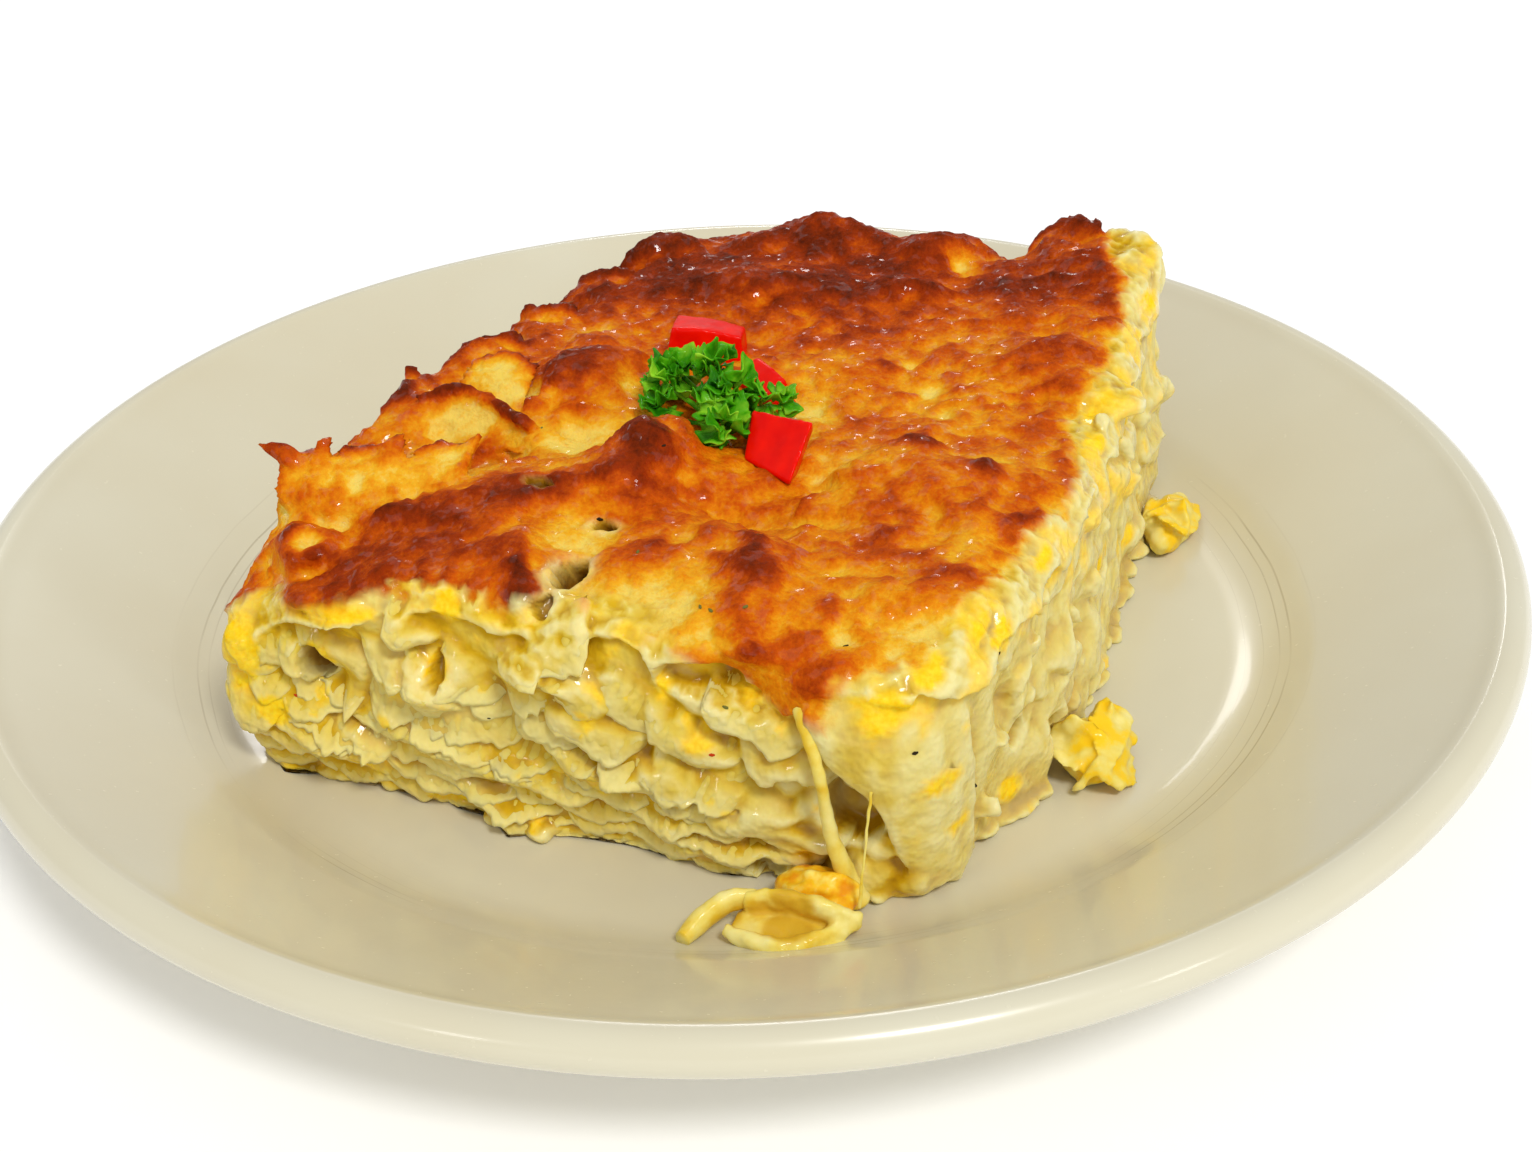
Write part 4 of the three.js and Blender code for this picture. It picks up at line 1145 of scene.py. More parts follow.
def sauce_lumps():
    """Small lumps of sauce that cover the right face and the back, strewn over the sides."""
    parts = []
    for count, start, end, seed in SAUCED_SIDES:
        s = draw.uniform(start, end, count)
        z = draw.uniform(0.5, 36, count)
        places = at_side(s, z, draw.uniform(-1.8, -1.2, count))
        turns = draw.uniform(0, 2 * pi, (count, 3))
        sizes = draw.uniform(0.5, 1.3, count)
        lump = soft_lump((0, 0, 0), (3.0, 1.3, 1.9), seed, bulge=0.4, around=16, rings=10)
        parts.append(strewn("sauce_lumps", lump, places, turns, sizes))
    return parts


def squashed_foot():
    """Small lumps along the foot, squashed flat by the weight of the cut, so it meets the plate."""
    shape = np.random.default_rng(33)
    s = np.arange(0, PLAN_LENGTH, FOOT_LUMPS_APART)
    s = s + shape.uniform(-FOOT_LUMPS_APART / 2, FOOT_LUMPS_APART / 2, len(s))
    z = shape.uniform(0.5, 1.3, len(s))
    places = at_side(s, z, shape.uniform(-1.8, 0.2, len(s)))
    turns = np.column_stack([0 * s, 0 * s, shape.uniform(0, pi, len(s))])
    lump = soft_lump((0, 0, 0), (3.0, 1.9, 1.3), 34, bulge=0.3, around=16, rings=10)
    return strewn("foot_lumps", lump, places, turns, shape.uniform(0.6, 1.3, len(s)))


SKIN_CELL = 0.45
skin_points, skin_faces = fused(
    [
        (top_points, [tuple(face) for face in top_faces]),
        *[thick_sheet(*wall_grids(**wall)) for wall in WALLS],
        *skirt(),
        *[edge_wall(**wall) for wall in EDGE_WALLS],
        tube(SPIKE, SPIKE_RADII),
        *[soft_lump(centre, half, seed) for seed, (centre, half) in enumerate(DRAPES)],
        *sauce_lumps(),
        squashed_foot(),
    ],
    SKIN_CELL,
)
skin_edges = edge_pairs(skin_faces)
skin_points = relaxed(skin_points, skin_edges, 1, 0.4)

# Holes that the sauce left open: at (u, v, z), the way in, half width, half height, depth, and how dark the
# painted shade down the hole is.
HOLES = [
    ((-3.5, -52.5, 38.0), (0.0, 0.5, -0.87), 2.3, 3.0, 5.5, 1.0),  # the oval one at the front
    ((-3.9, -40.6, 38.5), (0.0, 0.5, -0.87), 2.0, 1.3, 3.0, 1.0),
    ((-4.2, -60.5, 37.0), (0.1, 0.8, -0.6), 1.4, 2.0, 3.0, 0.7),
    ((-15.2, -35.4, 39.0), (0.1, 0.5, -0.87), 2.6, 1.3, 3.0, 1.0),
    ((-40.2, -61.4, 21.2), (0.1, 1.0, 0.0), 2.2, 3.0, 4.5, 0.9),
    ((-19.4, -61.4, 24.8), (0.1, 1.0, 0.0), 1.5, 2.8, 2.5, 0.6),
    ((18.5, -61.8, 31.4), (0.0, 1.0, 0.15), 6.0, 2.4, 1.8, 0.12),
    ((39.6, -57.6, 13.6), (0.0, 1.0, 0.0), 4.4, 4.4, 4.4, 0.12),
    ((27.6, -61.0, 3.0), (0.0, 1.0, 0.3), 2.4, 2.2, 3.0, 0.3),
    ((56.0, -38.0, 14.5), (-1.0, 0.1, 0.0), 1.6, 2.2, 2.6, 0.35),
    ((58.8, -27.0, 8.5), (-1.0, 0.1, 0.0), 1.5, 2.6, 2.6, 0.35),
    ((57.0, 4.0, 17.0), (-1.0, 0.0, 0.0), 2.4, 1.5, 2.2, 0.3),
    ((56.0, 24.0, 24.0), (-1.0, 0.0, 0.0), 1.4, 2.4, 2.2, 0.3),
    ((57.0, -14.0, 27.0), (-1.0, 0.0, 0.0), 2.6, 1.4, 2.0, 0.3),
]


def with_holes(points):
    """The points pushed in where the holes are, and the painted shade each gets down a hole, 0 to 1."""
    down = np.zeros(len(points))
    for centre, way, wide, high, depth, dark in HOLES:
        way = Vector(way).normalized()
        across = way.cross(Vector((0, 0, 1))).normalized()
        up = across.cross(way)
        away = points - np.array(centre)
        near = np.hypot(away @ np.array(across) / wide, away @ np.array(up) / high)
        share = ease(1.12 - near, 0, 0.34) * (np.abs(away @ np.array(way)) < 4.5)
        points = points + (share * depth)[:, None] * np.array(way)
        down = np.maximum(down, dark * share)
    return points, down


skin_points, hole = with_holes(skin_points)
skin_points = relaxed(skin_points, skin_edges, 1, 0.4)

# Fine relief: blisters and creases in the crust, a soft unevenness on the cut pasta.
normals = normals_of(skin_points, skin_faces)
depth = crust_at(skin_points[:, 0], skin_points[:, 1]) - skin_points[:, 2]
broad = relaxed(skin_points, skin_edges, 42)
broad_normals = normals_of(broad, skin_faces)
crusted = ease(-depth, -6.5, -2.5) * ease(broad_normals[:, 2], 0.1, 0.6)
lumpy_side = ease(skin_points[:, 0], 35, 42) * (1 - crusted)
# The pale shell at the far corner is smooth.
lumpy_side *= 1 - 0.85 * ease(skin_points[:, 1], 48, 56) * ease(skin_points[:, 2], 33, 37)
blisters = 0.42 * (1 - 2 * np.abs(grain(skin_points, 4.4, 1))) + 0.3 * grain(skin_points, 2.0, 2)
blisters += 0.2 * grain(skin_points, 1.0, 3)
curds = 0.18 * grain(skin_points, 4.2, 6) + 0.1 * grain(skin_points, 1.9, 7)
# The sheet at the near corner is smoother, and hangs in upright folds.
sheeted = ease(-skin_points[:, 1], 46, 54)
curds = curds * (1 - 0.75 * sheeted) + 0.45 * grain(skin_points * (1, 1, 0.2), 3.4, 8) * sheeted
softness = 0.2 * grain(skin_points, 3.0, 4) + 0.07 * grain(skin_points, 1.2, 5)
push = crusted * blisters + (1 - crusted) * softness + lumpy_side * curds
skin_points = skin_points + normals * push[:, None]
skin_points[:, 2] = np.maximum(skin_points[:, 2], 0.05)

# What tells the finishes apart, point by point: crust, browning and yellow cheese, with painted
# shade in hollows and down holes, and painted light on what faces right.
proud = ((skin_points - broad) * broad_normals).sum(1)
u, v, z = skin_points.T
y = turned(skin_points, CUT_FRAME)[:, 1]
CRUST_EDGE = [
    (-60, 20.0), (-55, 26.0), (-49.6, 29.6), (-41.4, 30.4), (-33.1, 32.8), (-24.8, 35.6), (-17.2, 35.9),
    (-9.8, 35.5), (-0.6, 38.4), (5.1, 37.6), (12, 35.5), (19, 33.8), (25.8, 30.6), (31.3, 27.8),
    (42, 31.0),
]
CRUST_RIGHT = [
    (-62, 38), (-56.8, 47), (-48.7, 48.2), (-40.3, 51.5), (-26.7, 52.5), (-16.8, 55), (-9.8, 55),
    (-3.4, 53.5), (8, 50), (17.9, 51.5), (27.5, 51), (42.9, 50), (52, 48), (60, 43), (72, 40),
]
edge_lobes = 3.4 + 2.4 * grain(skin_points * (1, 1, 0.4), 6.0, 6) + 1.2 * grain(skin_points, 2.2, 7)
on_front = ease(-v, 52, 58) * ease(46 - u, 0, 8)
front_edge = crust_at(u, v) - np.interp(u, *zip(*CRUST_EDGE)) + 0.8 * grain(skin_points, 2.2, 7)
edge_lobes = edge_lobes * (1 - on_front) + front_edge * on_front
crust_mask = ease(edge_lobes - depth, -1.0, 1.2)
right_edge = np.interp(v, *zip(*CRUST_RIGHT)) + 1.6 * grain(skin_points, 4.0, 16)
right_edge += 0.9 * grain(skin_points, 1.6, 17)
crust_mask *= ease(right_edge + 0.8 - u, -0.9, 0.9) * (1 - hole)

# Where melted cheese stayed pale on top, at (u, v), with its half sizes.
PALE_WEBS = [
    (-3.0, -53.5, 3.8, 6.4), (-3.6, -41.5, 3.2, 2.4), (-1.5, -60.5, 3.6, 3.4), (7.0, -58.5, 6.0, 2.6),
]
for web_u, web_v, wide, high in PALE_WEBS:
    away = np.hypot((u - web_u) / wide, (v - web_v) / high) + 0.25 * grain(skin_points, 2.4, 18)
    crust_mask *= 1 - 0.85 * ease(1.1 - away, 0, 0.5) * ease(z, 33, 35)

wide_relief = ((relaxed(skin_points, skin_edges, 6) - broad) * broad_normals).sum(1)
browning = 0.3 + 0.27 * ease(y, 0, 50)
browning += 0.26 * np.clip(wide_relief / 0.8, -1, 1) + 0.08 * np.clip(proud / 0.8, -1, 1)
browning += 0.15 * grain(skin_points, 12.0, 9) + 0.1 * grain(skin_points, 6.5, 10)
browning += 1.15 * spot_share(skin_points) - 0.3 * ease(u - right_edge, -1.8, 1.2)


def nearness(points, line, reach):
    """1 on a line through a few points, falling to 0 a little further off than the reach."""
    at = smooth_line(line, 40)
    close = np.zeros(len(points))
    low, high = at.min(0) - 3 * reach, at.max(0) + 3 * reach
    inside = np.flatnonzero(((points > low) & (points < high)).all(1))
    away = np.linalg.norm(points[inside, None] - at[None], axis=2).min(1)
    close[inside] = np.exp(-((away / reach) ** 2))
    return close


# The upper lips of the edge shells are browned, their flanks stay yellow.
for wall in EDGE_WALLS:
    lip, foot = smooth_line(wall["high"], 6), smooth_line(wall["low"], 6)
    browning += 0.3 * nearness(skin_points, lip, 1.4) - 0.16 * nearness(skin_points, (lip + foot) / 2, 3.0)

# Bright yellow cheese, at (u, v, z), with half its width and height.
YELLOW_SPOTS = [
    (-53, -61.2, 20.3, 3.2, 5.9), (-47.2, -62, 12.5, 3.0, 2.1), (-36.4, -61.3, 32.1, 7.0, 1.4),
    (-17.8, -61.5, 35.1, 1.9, 2.2), (-19, -61.5, 24.6, 2.5, 2.8), (-38.8, -62.2, 23.1, 2.0, 2.0),
    (14.9, -61.2, 11.7, 1.4, 1.6), (-6.3, -62.6, 2.3, 0.9, 1.1), (-21.6, -60.6, 1.9, 2.9, 0.9),
    (43.4, -60.9, 30, 2.6, 1.8), (48.8, -57.9, 36.4, 1.8, 2.0), (52.6, -47.7, 37.3, 0.9, 1.3),
    (55, -45.9, 35.3, 1.0, 2.6), (54.8, 25.6, 32.5, 1.6, 1.9), (55.3, 4.6, 37.4, 1.8, 1.2),
    (56.5, 27.3, 9.3, 1.0, 2.0), (57.4, -17.7, 33.3, 0.8, 1.1), (42, -61, 22.9, 1.8, 1.6),
    (19, -62.9, 22.1, 2.1, 1.1), (14.1, -63.7, 29.5, 1.0, 1.8), (57.3, 2.6, 19.3, 0.9, 2.1),
    (50.8, -58.6, 20, 2.6, 1.3), (55.3, -39.4, 5.7, 1.4, 1.7), (51.7, -54.6, 11.6, 1.6, 1.3),
    (44.1, -61, 32.7, 3.8, 1.3), (52.5, 12.4, 37.5, 1.2, 1.5), (52.6, 53.1, 39.5, 1.3, 1.7),
    (52.2, 48.7, 36, 1.0, 1.3), (56.3, -28.6, 37.1, 1.1, 1.1), (52.0, 36.0, 37.0, 1.5, 1.6),
    (53.5, 20.0, 36.5, 1.5, 2.0), (54.5, 12.0, 30.0, 1.0, 3.0), (55.0, 34.0, 27.0, 1.0, 3.4),
]


def yellow_at(points):
    """How much of the cut's inside is yellow cheese at each point."""
    share = 0.7 * ease(grain(points, 6.5, 12) + 0.5 * grain(points, 2.5, 13), 0.6, 0.74)
    share += 0.12 * ease(-points[:, 0], -25, 30) * ease(-points[:, 1], 50, 58)
    for *spot, wide, high in YELLOW_SPOTS:
        away = np.linalg.norm((points - spot) / (wide, max(wide, 3), high), axis=1)
        share = np.maximum(share, ease(1.35 + 0.2 * grain(points, 1.5, 15) - away, 0, 0.35))
    return share


yellow = yellow_at(skin_points)
under_crust = ease(edge_lobes + 2.6 - depth, -1.2, 1.0) * (1 - crust_mask)
yellow = np.maximum(yellow, 0.7 * under_crust * ease(grain(skin_points, 5.0, 14), -0.05, 0.4))
# Painted shade of the pasta, 0 to 1: more in recesses and creases and near the foot, some more on what faces
# up and on the front face's left part, a little less on what faces right.
fine_proud = ((skin_points - relaxed(skin_points, skin_edges, 10)) * normals).sum(1)
hollow = 0.4 - proud / 2.0 - fine_proud / 1.2 + 0.14 * ease(12 - z, 0, 10)
hollow += 0.22 * ease(normals[:, 2], 0.3, 0.8) - 0.05 * ease(broad_normals[:, 0], 0.3, 0.8)
hollow += 0.08 * ease(-u, -25, 30) * ease(-v, 50, 58)
hollow = np.clip(hollow, 0, 1)
# Painted light: what faces right is made paler.
milky = ease(broad_normals[:, 0], 0.3, 0.8)
browning = np.clip(browning, 0, 0.88)

SKIN_FACES_MOST = 97000


def lightened(mesh, most):
    """The mesh with its flat parts thinned out, down to about so many squares' worth of triangles."""
    work = bpy.data.objects.new("lightening", mesh)
    bpy.context.collection.objects.link(work)
    thin = work.modifiers.new("thin", "DECIMATE")
    thin.ratio = min(1.0, most / len(mesh.polygons))
    made = evaluated_mesh(work)
    bpy.data.objects.remove(work)
    return made


def varied(tree, value, cloud, share):
    """A value moved up and down by a noise that is centred on one half."""
    return worked_out(tree, "MULTIPLY_ADD", worked_out(tree, "SUBTRACT", cloud, 0.5), share, value)


def moist_food(shader, scatter, glow):
    """Sets what soft wet food shares: light that scatters below the skin, and a wet film."""
    shader.inputs["Subsurface Weight"].default_value = scatter
    shader.inputs["Subsurface Radius"].default_value = (1.0, 0.75, 0.35)
    shader.inputs["Subsurface Scale"].default_value = 0.0012
    shader.inputs["Specular IOR Level"].default_value = 0.06
    shader.inputs["Coat Weight"].default_value = glow
    shader.inputs["Coat Roughness"].default_value = 0.09


def bake_finish():
    """Pasta, sauce, yellow cheese and crust in one skin, mixed by the masks on its points."""
    finish, tree, shader = new_finish("baked_cheese_and_pasta")
    place = add_node(tree, "ShaderNodeTexCoord").outputs["Object"]
    mask = {
        name: add_node(tree, "ShaderNodeAttribute", attribute_name=name).outputs["Fac"]
        for name in ("crust", "browning", "yellow", "hollow", "hole", "milky")
    }
    coarse, fine = noise(tree, place, 260.0, 4.0), noise(tree, place, 1300.0, 4.0)
    film = noise(tree, place, 600.0, 1.0)
    # Painted shade: the pasta turns darker and a deeper yellow with the shade share in its hollows.
    pasta = colour_ramp(
        tree,
        varied(tree, mask["hollow"], coarse, 0.4),
        [(0.08, (235, 222, 152)), (0.38, (224, 198, 84)), (0.62, (206, 164, 22)), (0.88, (178, 132, 6))],
    )
    # Painted light: what faces right is blended towards a pale cream.
    pasta = blended(tree, worked_out(tree, "MULTIPLY", mask["milky"], 0.3), pasta, srgb(228, 222, 166))
    creamy = ranged(tree, noise(tree, place, 90.0, 2.0), 0.52, 0.66, 0.0, 0.4)
    pasta = blended(tree, creamy, pasta, srgb(236, 228, 158))
    cheddar = colour_ramp(tree, fine, [(0.3, (254, 200, 8)), (0.7, (255, 220, 50))])
    inside = blended(tree, mask["yellow"], pasta, cheddar)
    crust = colour_ramp(
        tree,
        varied(tree, varied(tree, mask["browning"], coarse, 0.4), fine, 0.3),
        [
            (0.0, (238, 206, 92)),
            (0.14, (236, 176, 34)),
            (0.32, (224, 132, 4)),
            (0.5, (200, 84, 0)),
            (0.7, (150, 48, 0)),
            (1.0, (74, 20, 0)),
        ],
    )
    skin = blended(tree, mask["crust"], inside, crust)
    # Painted shade: down the holes the skin turns dark.
    skin = blended(tree, mask["hole"], skin, srgb(128, 84, 16))
    pores = worked_out(tree, "MULTIPLY_ADD", fine, 0.7, coarse)
    height = add_node(tree, "ShaderNodeMix", {0: mask["crust"], 2: film, 3: pores}).outputs[0]
    rough = ranged(tree, mask["crust"], 0.0, 1.0, 0.34, 0.6)
    tree.links.new(skin, shader.inputs["Base Color"])
    tree.links.new(rough, shader.inputs["Roughness"])
    bumped(tree, shader, height, 0.7, 0.0007)
    moist_food(shader, 0.3, 0.0)
    sauce = ranged(tree, coarse, 0.46, 0.56, 0.0, 0.8)
    fat = ranged(tree, film, 0.58, 0.62, 0.0, 0.6)
    wet = add_node(tree, "ShaderNodeMix", {0: mask["crust"], 2: sauce, 3: fat}).outputs[0]
    tree.links.new(wet, shader.inputs["Coat Weight"])
    return finish


def set_shares(mesh, **shares):
    """Writes what a finish reads on a mesh's points: one value a point under each name."""
    for name, values in shares.items():
        mesh.attributes.new(name, "FLOAT", "POINT").data.foreach_set("value", values)


bake_material = bake_finish()
bake_mesh = bpy.data.meshes.new("bake_skin")
bake_mesh.from_pydata((turned(skin_points, CUT_FRAME) * MM).tolist(), [], skin_faces.tolist())
set_shares(
    bake_mesh, crust=crust_mask, browning=browning, yellow=yellow, hollow=hollow, hole=hole, milky=milky
)
baked = lightened(bake_mesh, SKIN_FACES_MOST)
bpy.data.meshes.remove(bake_mesh)
baked.name = "baked_macaroni"
baked.materials.append(bake_material)
baked.shade_smooth()
bake = bpy.data.objects.new("baked_macaroni", baked)
bpy.context.collection.objects.link(bake)
settled(bake, "macaroni_bake")

# Where the knife cut them, the walls of the front face end in thin, sharp edges, which the skin is
# too coarse for. Each is a thin sheet that lies just outside the skin's own wall.
CRISP_CELL = 0.32


def crisp_walls():
    """The thin sheets as one part, and the painted shade at each of their points."""
    parts, hollows = [], []
    for wall in WALLS:
        if not FRONT_LEFT - 3 < wall["s"] < FRONT_RIGHT + 3:
            continue
        finer = {"stand": wall["stand"] + 0.3, "drop": wall["drop"] + 0.2, "wall": 1.0, "cell": CRISP_CELL}
        outer, inner = wall_grids(**{**wall, **finer, "ribs": 0.1})
        parts.append(thick_sheet(outer, inner))
        columns, rows = outer.shape[:2]
        # Painted shade: more where the top sinks into the skin, most on the underside.
        hollows += [np.tile(0.62 - 0.5 * np.linspace(0, 1, rows), columns), np.full(columns * rows, 0.95)]
    return joined(parts), np.concatenate(hollows)


(crisp_points, crisp_faces), crisp_hollow = crisp_walls()
crisp_points += 0.12 * grain(crisp_points, 2.4, 91)[:, None] * (0.3, -1, 0)
crisp_points, crisp_hole = with_holes(crisp_points)
crisp = new_piece("cut_pasta_walls", turned(crisp_points, CUT_FRAME) * MM, crisp_faces, bake_material)
set_shares(crisp.data, yellow=yellow_at(crisp_points), hollow=crisp_hollow, hole=crisp_hole)
settled(crisp)


# The dice are raw red pepper, cut small with a knife and strewn on when the dish came out of the
# oven. They stay crisp, so their cut edges are firm and their skin shines.
def food_finish(name, cloud, stops, roughness, scatter, glow, bump=None, inside=None):
    """Moist food, coloured along a cloud of a scale and detail, and deeper inside: sauce and painted shade.

    The bump, where there is one, has a strength and a distance, and follows the same cloud.
    """
    finish, tree, shader = new_finish(name)
    place = add_node(tree, "ShaderNodeTexCoord").outputs["Object"]
    swells = noise(tree, place, *cloud)
    tint = colour_ramp(tree, swells, stops)
    if inside:
        share = add_node(tree, "ShaderNodeAttribute", attribute_name="inside").outputs["Fac"]
        tint = blended(tree, share, tint, srgb(*inside))
    tree.links.new(tint, shader.inputs["Base Color"])
    if bump:
        bumped(tree, shader, swells, *bump)
    shader.inputs["Roughness"].default_value = roughness
    moist_food(shader, scatter, glow)
    return finish


pepper = food_finish(
    "red_pepper",
    (300.0, 2.0),
    [(0.3, (224, 4, 0)), (0.7, (246, 20, 0))],
    roughness=0.32, scatter=0.06, glow=0.12, bump=(0.3, 0.0004),
)
DICE_CELL = 0.34
# The front die shows one whole side: its corners from below left, upwards, then on the right.
FRONT_DIE = np.array([
    [(7.6, -16.2, 38.2), (7.1, -10.8, 43.5)],
    [(16.7, -21.2, 38.2), (17.6, -13.5, 44.5)],
])
FRONT_DIE_DEPTH = (-1.4, 4.2, -3.6)
for name in ("red_dice_back", "red_dice_front", "red_dice_middle"):
    front = name == "red_dice_front"
    solid = thick_sheet(FRONT_DIE, FRONT_DIE + FRONT_DIE_DEPTH) if front else node_arrays(name)
    die_points, die_faces = fused([solid], DICE_CELL)
    die_points = relaxed(die_points, edge_pairs(die_faces), 3)
    die_points += 0.12 * grain(die_points, 2.2, 51)[:, None] * normals_of(die_points, die_faces)
    die = new_piece("pepper_" + name, turned(die_points, CUT_FRAME) * MM, die_faces.tolist(), pepper)
    settled(die, name)


# The parsley is a fresh sprig of the curly kind, laid on last. Each branch ends in a tuft of small
# leaves whose edges are frilled.
def frilled_leaf(size, waves, lift):
    """A thin fan with a frilled edge, rooted at the origin, closed all round."""
    angle = np.linspace(-1.5, 1.5, 49)[:, None]
    r = np.linspace(0.06, 1, 7)[None, :]
    lobes = 1 - np.abs(np.sin(0.5 * waves * angle)) ** 1.6
    edge = 0.8 + 0.22 * lobes + 0.07 * (1 - np.abs(np.sin(1.5 * waves * angle)))
    reach = size * r * edge * (0.8 + 0.2 * np.cos(angle))
    frill = size * (0.2 * r**2 * np.cos(waves * angle) + lift * r**2)
    ahead, aside = reach * np.cos(angle * 0.9), reach * np.sin(angle * 0.9)
    sheet = np.stack(np.broadcast_arrays(ahead, aside, frill), axis=-1)
    half = np.array([0, 0, 0.12])
    return thick_sheet(sheet + half, sheet - half)


# Where the tufts are, at (u, v, z), how far their leaves spread and how many there are.
TUFTS = [
    (-9.0, -4.6, 42.4, 2.4, 12),
    (-8.0, -1.4, 43.0, 1.9, 10),
    (-1.4, -2.6, 45.0, 2.6, 13),
    (2.8, -6.6, 44.2, 2.5, 12),
    (7.6, -4.2, 42.0, 2.1, 11),
    (3.0, -12.6, 41.4, 2.3, 12),
    (-8.6, -8.0, 40.4, 1.9, 6),
    (0.2, -8.8, 41.6, 2.4, 7),
]
STEM_FOOT = (-1.0, -7.0, 38.4)
STEM_RADII = (0.5, 0.45, 0.35)
parsley_green = food_finish(
    "parsley_leaf",
    (240.0, 3.0),
    [(0.3, (30, 108, 6)), (0.5, (72, 164, 12)), (0.7, (150, 212, 44))],
    roughness=0.42, scatter=0.15, glow=0.1,
)


def sprig():
    """The tufts' leaves, which point away from the middle of each tuft, and the stems."""
    places, turns = [], []
    for u, v, z, spread, count in TUFTS:
        away = unit_rows(draw.normal(size=(count, 3)) + (0, -0.25, 0.55))
        places.append(np.array([u, v, z]) + away * spread * 0.55)
        turns.append(np.column_stack([
            draw.uniform(-0.8, 0.8, count),
            -np.arcsin(np.clip(away[:, 2], -0.6, 0.9)) + draw.uniform(-0.3, 0.3, count),
            np.arctan2(away[:, 1], away[:, 0]),
        ]))
    places, turns = np.vstack(places), np.vstack(turns)
    sizes = draw.uniform(0.7, 1.15, len(places))
    parts = []
    for first, leaf in enumerate((frilled_leaf(3.7, 5, 0.1), frilled_leaf(3.3, 7, -0.1))):
        parts.append(strewn("leaves", leaf, places[first::2], turns[first::2], sizes[first::2]))
    for u, v, z, _, _ in TUFTS:
        stem = [STEM_FOOT, (u * 0.5, v * 0.6 - 2.6, z - 2.6), (u, v, z - 0.6)]
        parts.append(tube(stem, STEM_RADII))
    return joined(parts)


leaf_points, leaf_faces = sprig()
leaves = new_piece("parsley_leaves", turned(leaf_points, CUT_FRAME) * MM, leaf_faces, parsley_green)
settled(leaves, "parsley_sprig")


# What fell off the cut when it was served: a lump of melted orange cheese at the near corner, two
# shells in front of it, and crumbs of pasta and cheese along its right foot.
def shown(name, points, faces, finish, slot, node=None, **shares):
    """A piece made in the cut's frame, with the shares that its finish reads."""
    piece = new_piece(name, turned(points, CUT_FRAME) * MM, faces, finish)
    set_shares(piece.data, **shares)
    settled(piece, node)


CLOUD_BUMP = (0.4, 0.0006)
cheddar_yellow = food_finish(
    "melted_cheddar",
    (320.0, 3.0),
    [(0.36, (238, 156, 16)), (0.5, (248, 196, 36)), (0.62, (252, 228, 112))],
    roughness=0.34, scatter=0.25, glow=0.35, bump=CLOUD_BUMP,
)
# The inside of the open shell: sauce that pooled there, darkened as painted shade.
SAUCED_INSIDE_SHADE = (216, 174, 48)
sauced_pale = food_finish(
    "sauced_pasta",
    (210.0, 4.0),
    [(0.3, (244, 232, 150)), (0.5, (238, 216, 104)), (0.62, (232, 196, 60)), (0.74, (238, 194, 30))],
    roughness=0.34, scatter=0.2, glow=0.3, bump=CLOUD_BUMP, inside=SAUCED_INSIDE_SHADE,
)
sauced_yellow = food_finish(
    "yellow_sauced_pasta",
    (210.0, 4.0),
    [(0.3, (244, 232, 150)), (0.46, (236, 214, 100)), (0.54, (246, 206, 36)), (0.7, (252, 202, 8))],
    roughness=0.34, scatter=0.2, glow=0.3, bump=CLOUD_BUMP, inside=SAUCED_INSIDE_SHADE,
)


def smooth_node(name, cell, extra=()):
    """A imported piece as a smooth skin, with more shells fused to it."""
    points, faces = fused([node_arrays(name), *extra], cell)
    points = relaxed(points, edge_pairs(faces), 3)
    points += 0.3 * grain(points, 2.0, 61)[:, None] * normals_of(points, faces)
    points[:, 2] = np.maximum(points[:, 2], 0.05)
    return points, faces.tolist()


TRIMMING_CELL = 0.4
# Shreds that didn't quite melt lie over the lump of cheese.
SHREDS = [
    [(30.4, -66.4, 2.6), (34.0, -68.0, 4.8), (38.4, -67.4, 5.4), (41.6, -66.0, 3.4)],
    [(31.2, -64.2, 3.6), (35.4, -66.2, 6.0), (40.0, -65.2, 5.6), (42.0, -64.4, 3.6)],
    [(30.2, -68.0, 1.2), (34.6, -69.4, 3.2), (39.4, -69.0, 3.0), (42.2, -67.4, 1.6)],
]
shreds = [tube(line, (0.5, 0.9, 0.8, 0.5), steps=30) for line in SHREDS]
lump = smooth_node("cheese_in_front", TRIMMING_CELL, shreds)
shown("cheese_lump", *lump, cheddar_yellow, "cheddar", "cheese_in_front")

# The open shell lies on its side as a ring: its near lip, its far wall, which leans over towards the
# near lip, and the sauce inside. Each wall has a line, half widths, half heights and its lean.
NEAR_LIP = (
    [(26.9, -76.2, 2.6), (30.5, -77.0, 2.2), (33.9, -77.2, 2.1), (36.6, -76.2, 2.1), (38.9, -74.4, 2.3),
     (41.3, -71.8, 2.7), (43.4, -69.2, 3.2)],
    (0.7, 1.25, 1.35, 1.35, 1.25, 1.1, 0.8), (0.9, 1.7, 1.9, 1.9, 1.7, 1.5, 1.0), (0.0, -0.25, 1.0),
)
FAR_WALL = (
    [(43.6, -69.4, 3.2), (40.0, -70.4, 3.9), (35.5, -70.2, 4.1), (31.0, -70.4, 3.9), (28.0, -71.8, 3.6)],
    (0.9, 1.2, 1.3, 1.3, 1.1), (1.2, 2.9, 3.3, 3.1, 2.5), (0.0, -0.45, 1.0),
)
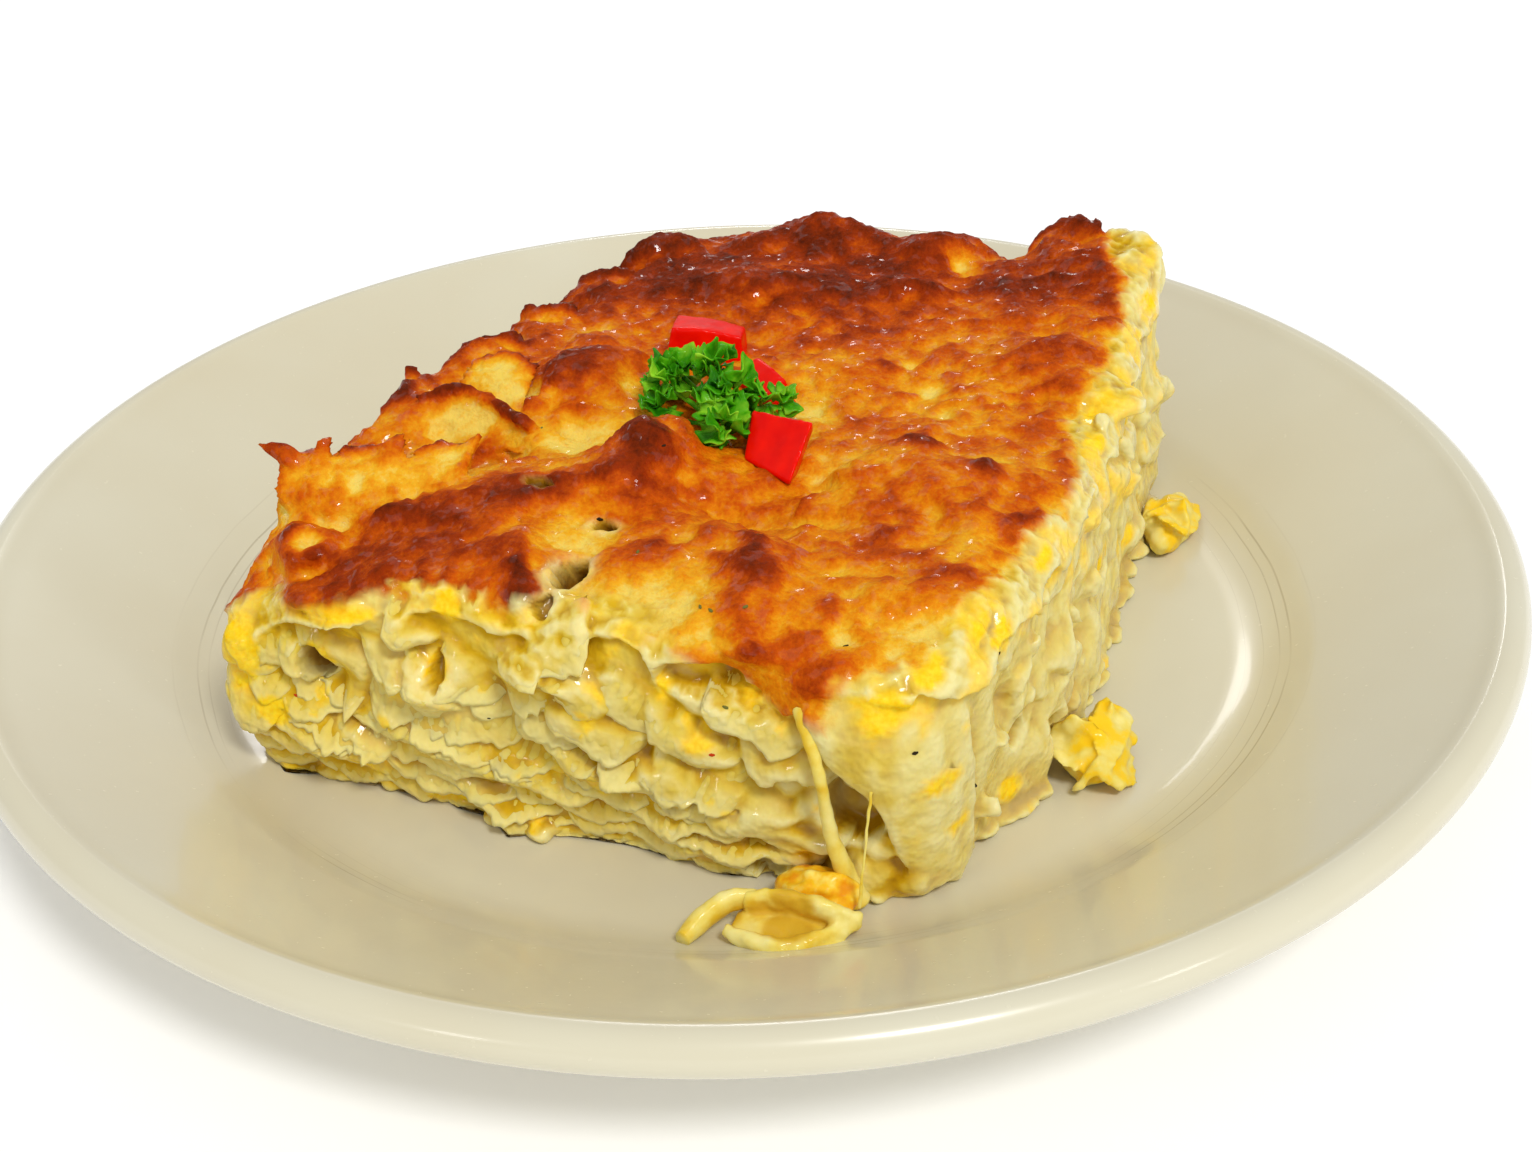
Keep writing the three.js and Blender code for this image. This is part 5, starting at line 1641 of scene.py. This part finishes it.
SIDE_ARM = (
    [(30.5, -70.6, 4.0), (27.0, -71.8, 4.2), (24.8, -73.8, 3.5), (23.2, -76.4, 2.6), (22.2, -79.2, 2.0)],
    (0.9, 1.2, 1.4, 1.5, 1.1), (1.6, 2.4, 2.3, 2.0, 1.4), (0.3, -0.35, 1.0),
)
RING_MIDDLE = np.array([35.0, -74.0])


def fallen_wall(line, wide, high, lean):
    """A wall of a fallen shell, as a flattened tube."""
    return tube(line, wide, high, lean, around=20, steps=40)


open_points, open_faces = fused(
    [fallen_wall(*NEAR_LIP), fallen_wall(*FAR_WALL), soft_lump((34.6, -72.8, 1.5), (8.0, 3.8, 1.3), 64)],
    TRIMMING_CELL,
)
open_points = relaxed(open_points, edge_pairs(open_faces), 2)
open_normals = normals_of(open_points, open_faces)
open_push = 0.3 * grain(open_points, 2.6, 62) + 0.16 * grain(open_points, 1.1, 63)
open_points += open_push[:, None] * open_normals
open_points[:, 2] = np.maximum(open_points[:, 2], 0.3)
# Painted shade: the ring's inner faces, low down, and its middle take the darker inside colour.
inwards = ((RING_MIDDLE - open_points[:, :2]) * open_normals[:, :2]).sum(1)
sheltered_shade = ease(inwards, 0.2, 2.0) * ease(-open_points[:, 2], -5.6, -3.2)
sheltered_shade = np.maximum(sheltered_shade, ease(4 - np.hypot(*(RING_MIDDLE - open_points[:, :2]).T), 0, 1))
shown(
    "sauced_fallen_shell_open", open_points, open_faces.tolist(), sauced_pale,
    "pasta", "fallen_shell_open", inside=sheltered_shade,
)
arm_points, arm_faces = fallen_wall(*SIDE_ARM)
arm_points += (0.3 * grain(arm_points, 2.6, 65) + 0.12 * grain(arm_points, 1.1, 66))[:, None] * (0.5, 0.5, 1)
arm_points[:, 2] = np.maximum(arm_points[:, 2], 0.3)
shown("sauced_fallen_shell_side", arm_points, arm_faces, sauced_pale, "pasta", "fallen_shell_side")
for name in ("clump_right", "clump_far_right"):
    shown("sauced_" + name, *smooth_node(name, TRIMMING_CELL), sauced_yellow, "pasta", name)
STRANDS = {
    "cheese_strand_thick": (
        [(31.4, -58.4, 32.2), (34.0, -63.2, 29.0), (35.8, -64.8, 24.5), (36.8, -65.0, 20.0),
         (37.8, -64.4, 12.0), (39.8, -63.6, 4.5), (40.8, -63.2, 0.9)],
        (1.8, 1.25, 0.85, 0.8, 1.0, 1.5, 2.0),
    ),
    "cheese_strand_thin": (
        [(43.3, -64.3, 20.5), (43.0, -66.5, 11.0), (42.7, -67.5, 3.5)], (0.24, 0.16, 0.24),
    ),
}
for name, (line, radii) in STRANDS.items():
    points, faces = tube(line, radii, around=16, steps=60)
    points += 0.12 * grain(points, 1.6, 67)[:, None] * (1, 1, 0)
    shown("melted_" + name, points, faces, sauced_pale, "pasta", name)


# Ground pepper and dried herbs were stirred into the sauce. A few flecks show, each pressed flat on
# the skin, at (u, v, z).
def fleck_finish(name, colour):
    """What is dry and dull, and too fine to show more than its colour."""
    finish, _, shader = new_finish(name)
    shader.inputs["Base Color"].default_value = srgb(*colour)
    shader.inputs["Roughness"].default_value = 0.6
    shader.inputs["Specular IOR Level"].default_value = 0.1
    return finish


FLECKS = {
    "black_pepper": ((44, 32, 18), 0.4, [
        (-26.4, -61.4, 23.7), (48.1, -61.4, 25.7), (53.3, -52.2, 15.1), (-12.5, -62.3, 19.2),
        (55.0, -46.3, 32.6), (37.2, -56.4, 37.6), (-1.6, -25.2, 42.0), (-5.0, -39.2, 38.3),
    ]),
    "dried_herbs": ((112, 112, 50), 0.34, [
        (23.1, -62.9, 27.9), (17.2, -56.5, 38.7), (18.7, -56.6, 38.5), (22.8, -55.8, 38.6),
        (4.8, -47.6, 38.4), (-25.1, -28.2, 37.8), (-25.1, -15.7, 35.8),
    ]),
    "red_pepper_flecks": ((190, 60, 16), 0.32, [
        (20.7, -63.2, 20.6), (-44.0, -61.0, 14.0), (2.5, -62.0, 2.2),
    ]),
}
skin_tree = BVHTree.FromPolygons(skin_points.tolist(), skin_faces.tolist())
for name, (colour, size, spots) in FLECKS.items():
    hits = [skin_tree.find_nearest(spot)[:2] for spot in spots]
    places = np.array([at for at, _ in hits])
    turns = np.array([way.to_track_quat("Z", "Y").to_euler() for _, way in hits])
    fleck = soft_lump((0, 0, 0), (size, 0.6 * size, 0.22), 81, bulge=0.4, around=12, rings=8)
    finish = fleck_finish(name, colour)
    part = strewn(name, fleck, places, turns, np.ones(len(spots)), finish, seed=3, size_spread=0.25)
    shown(name, *part, finish, "bake")
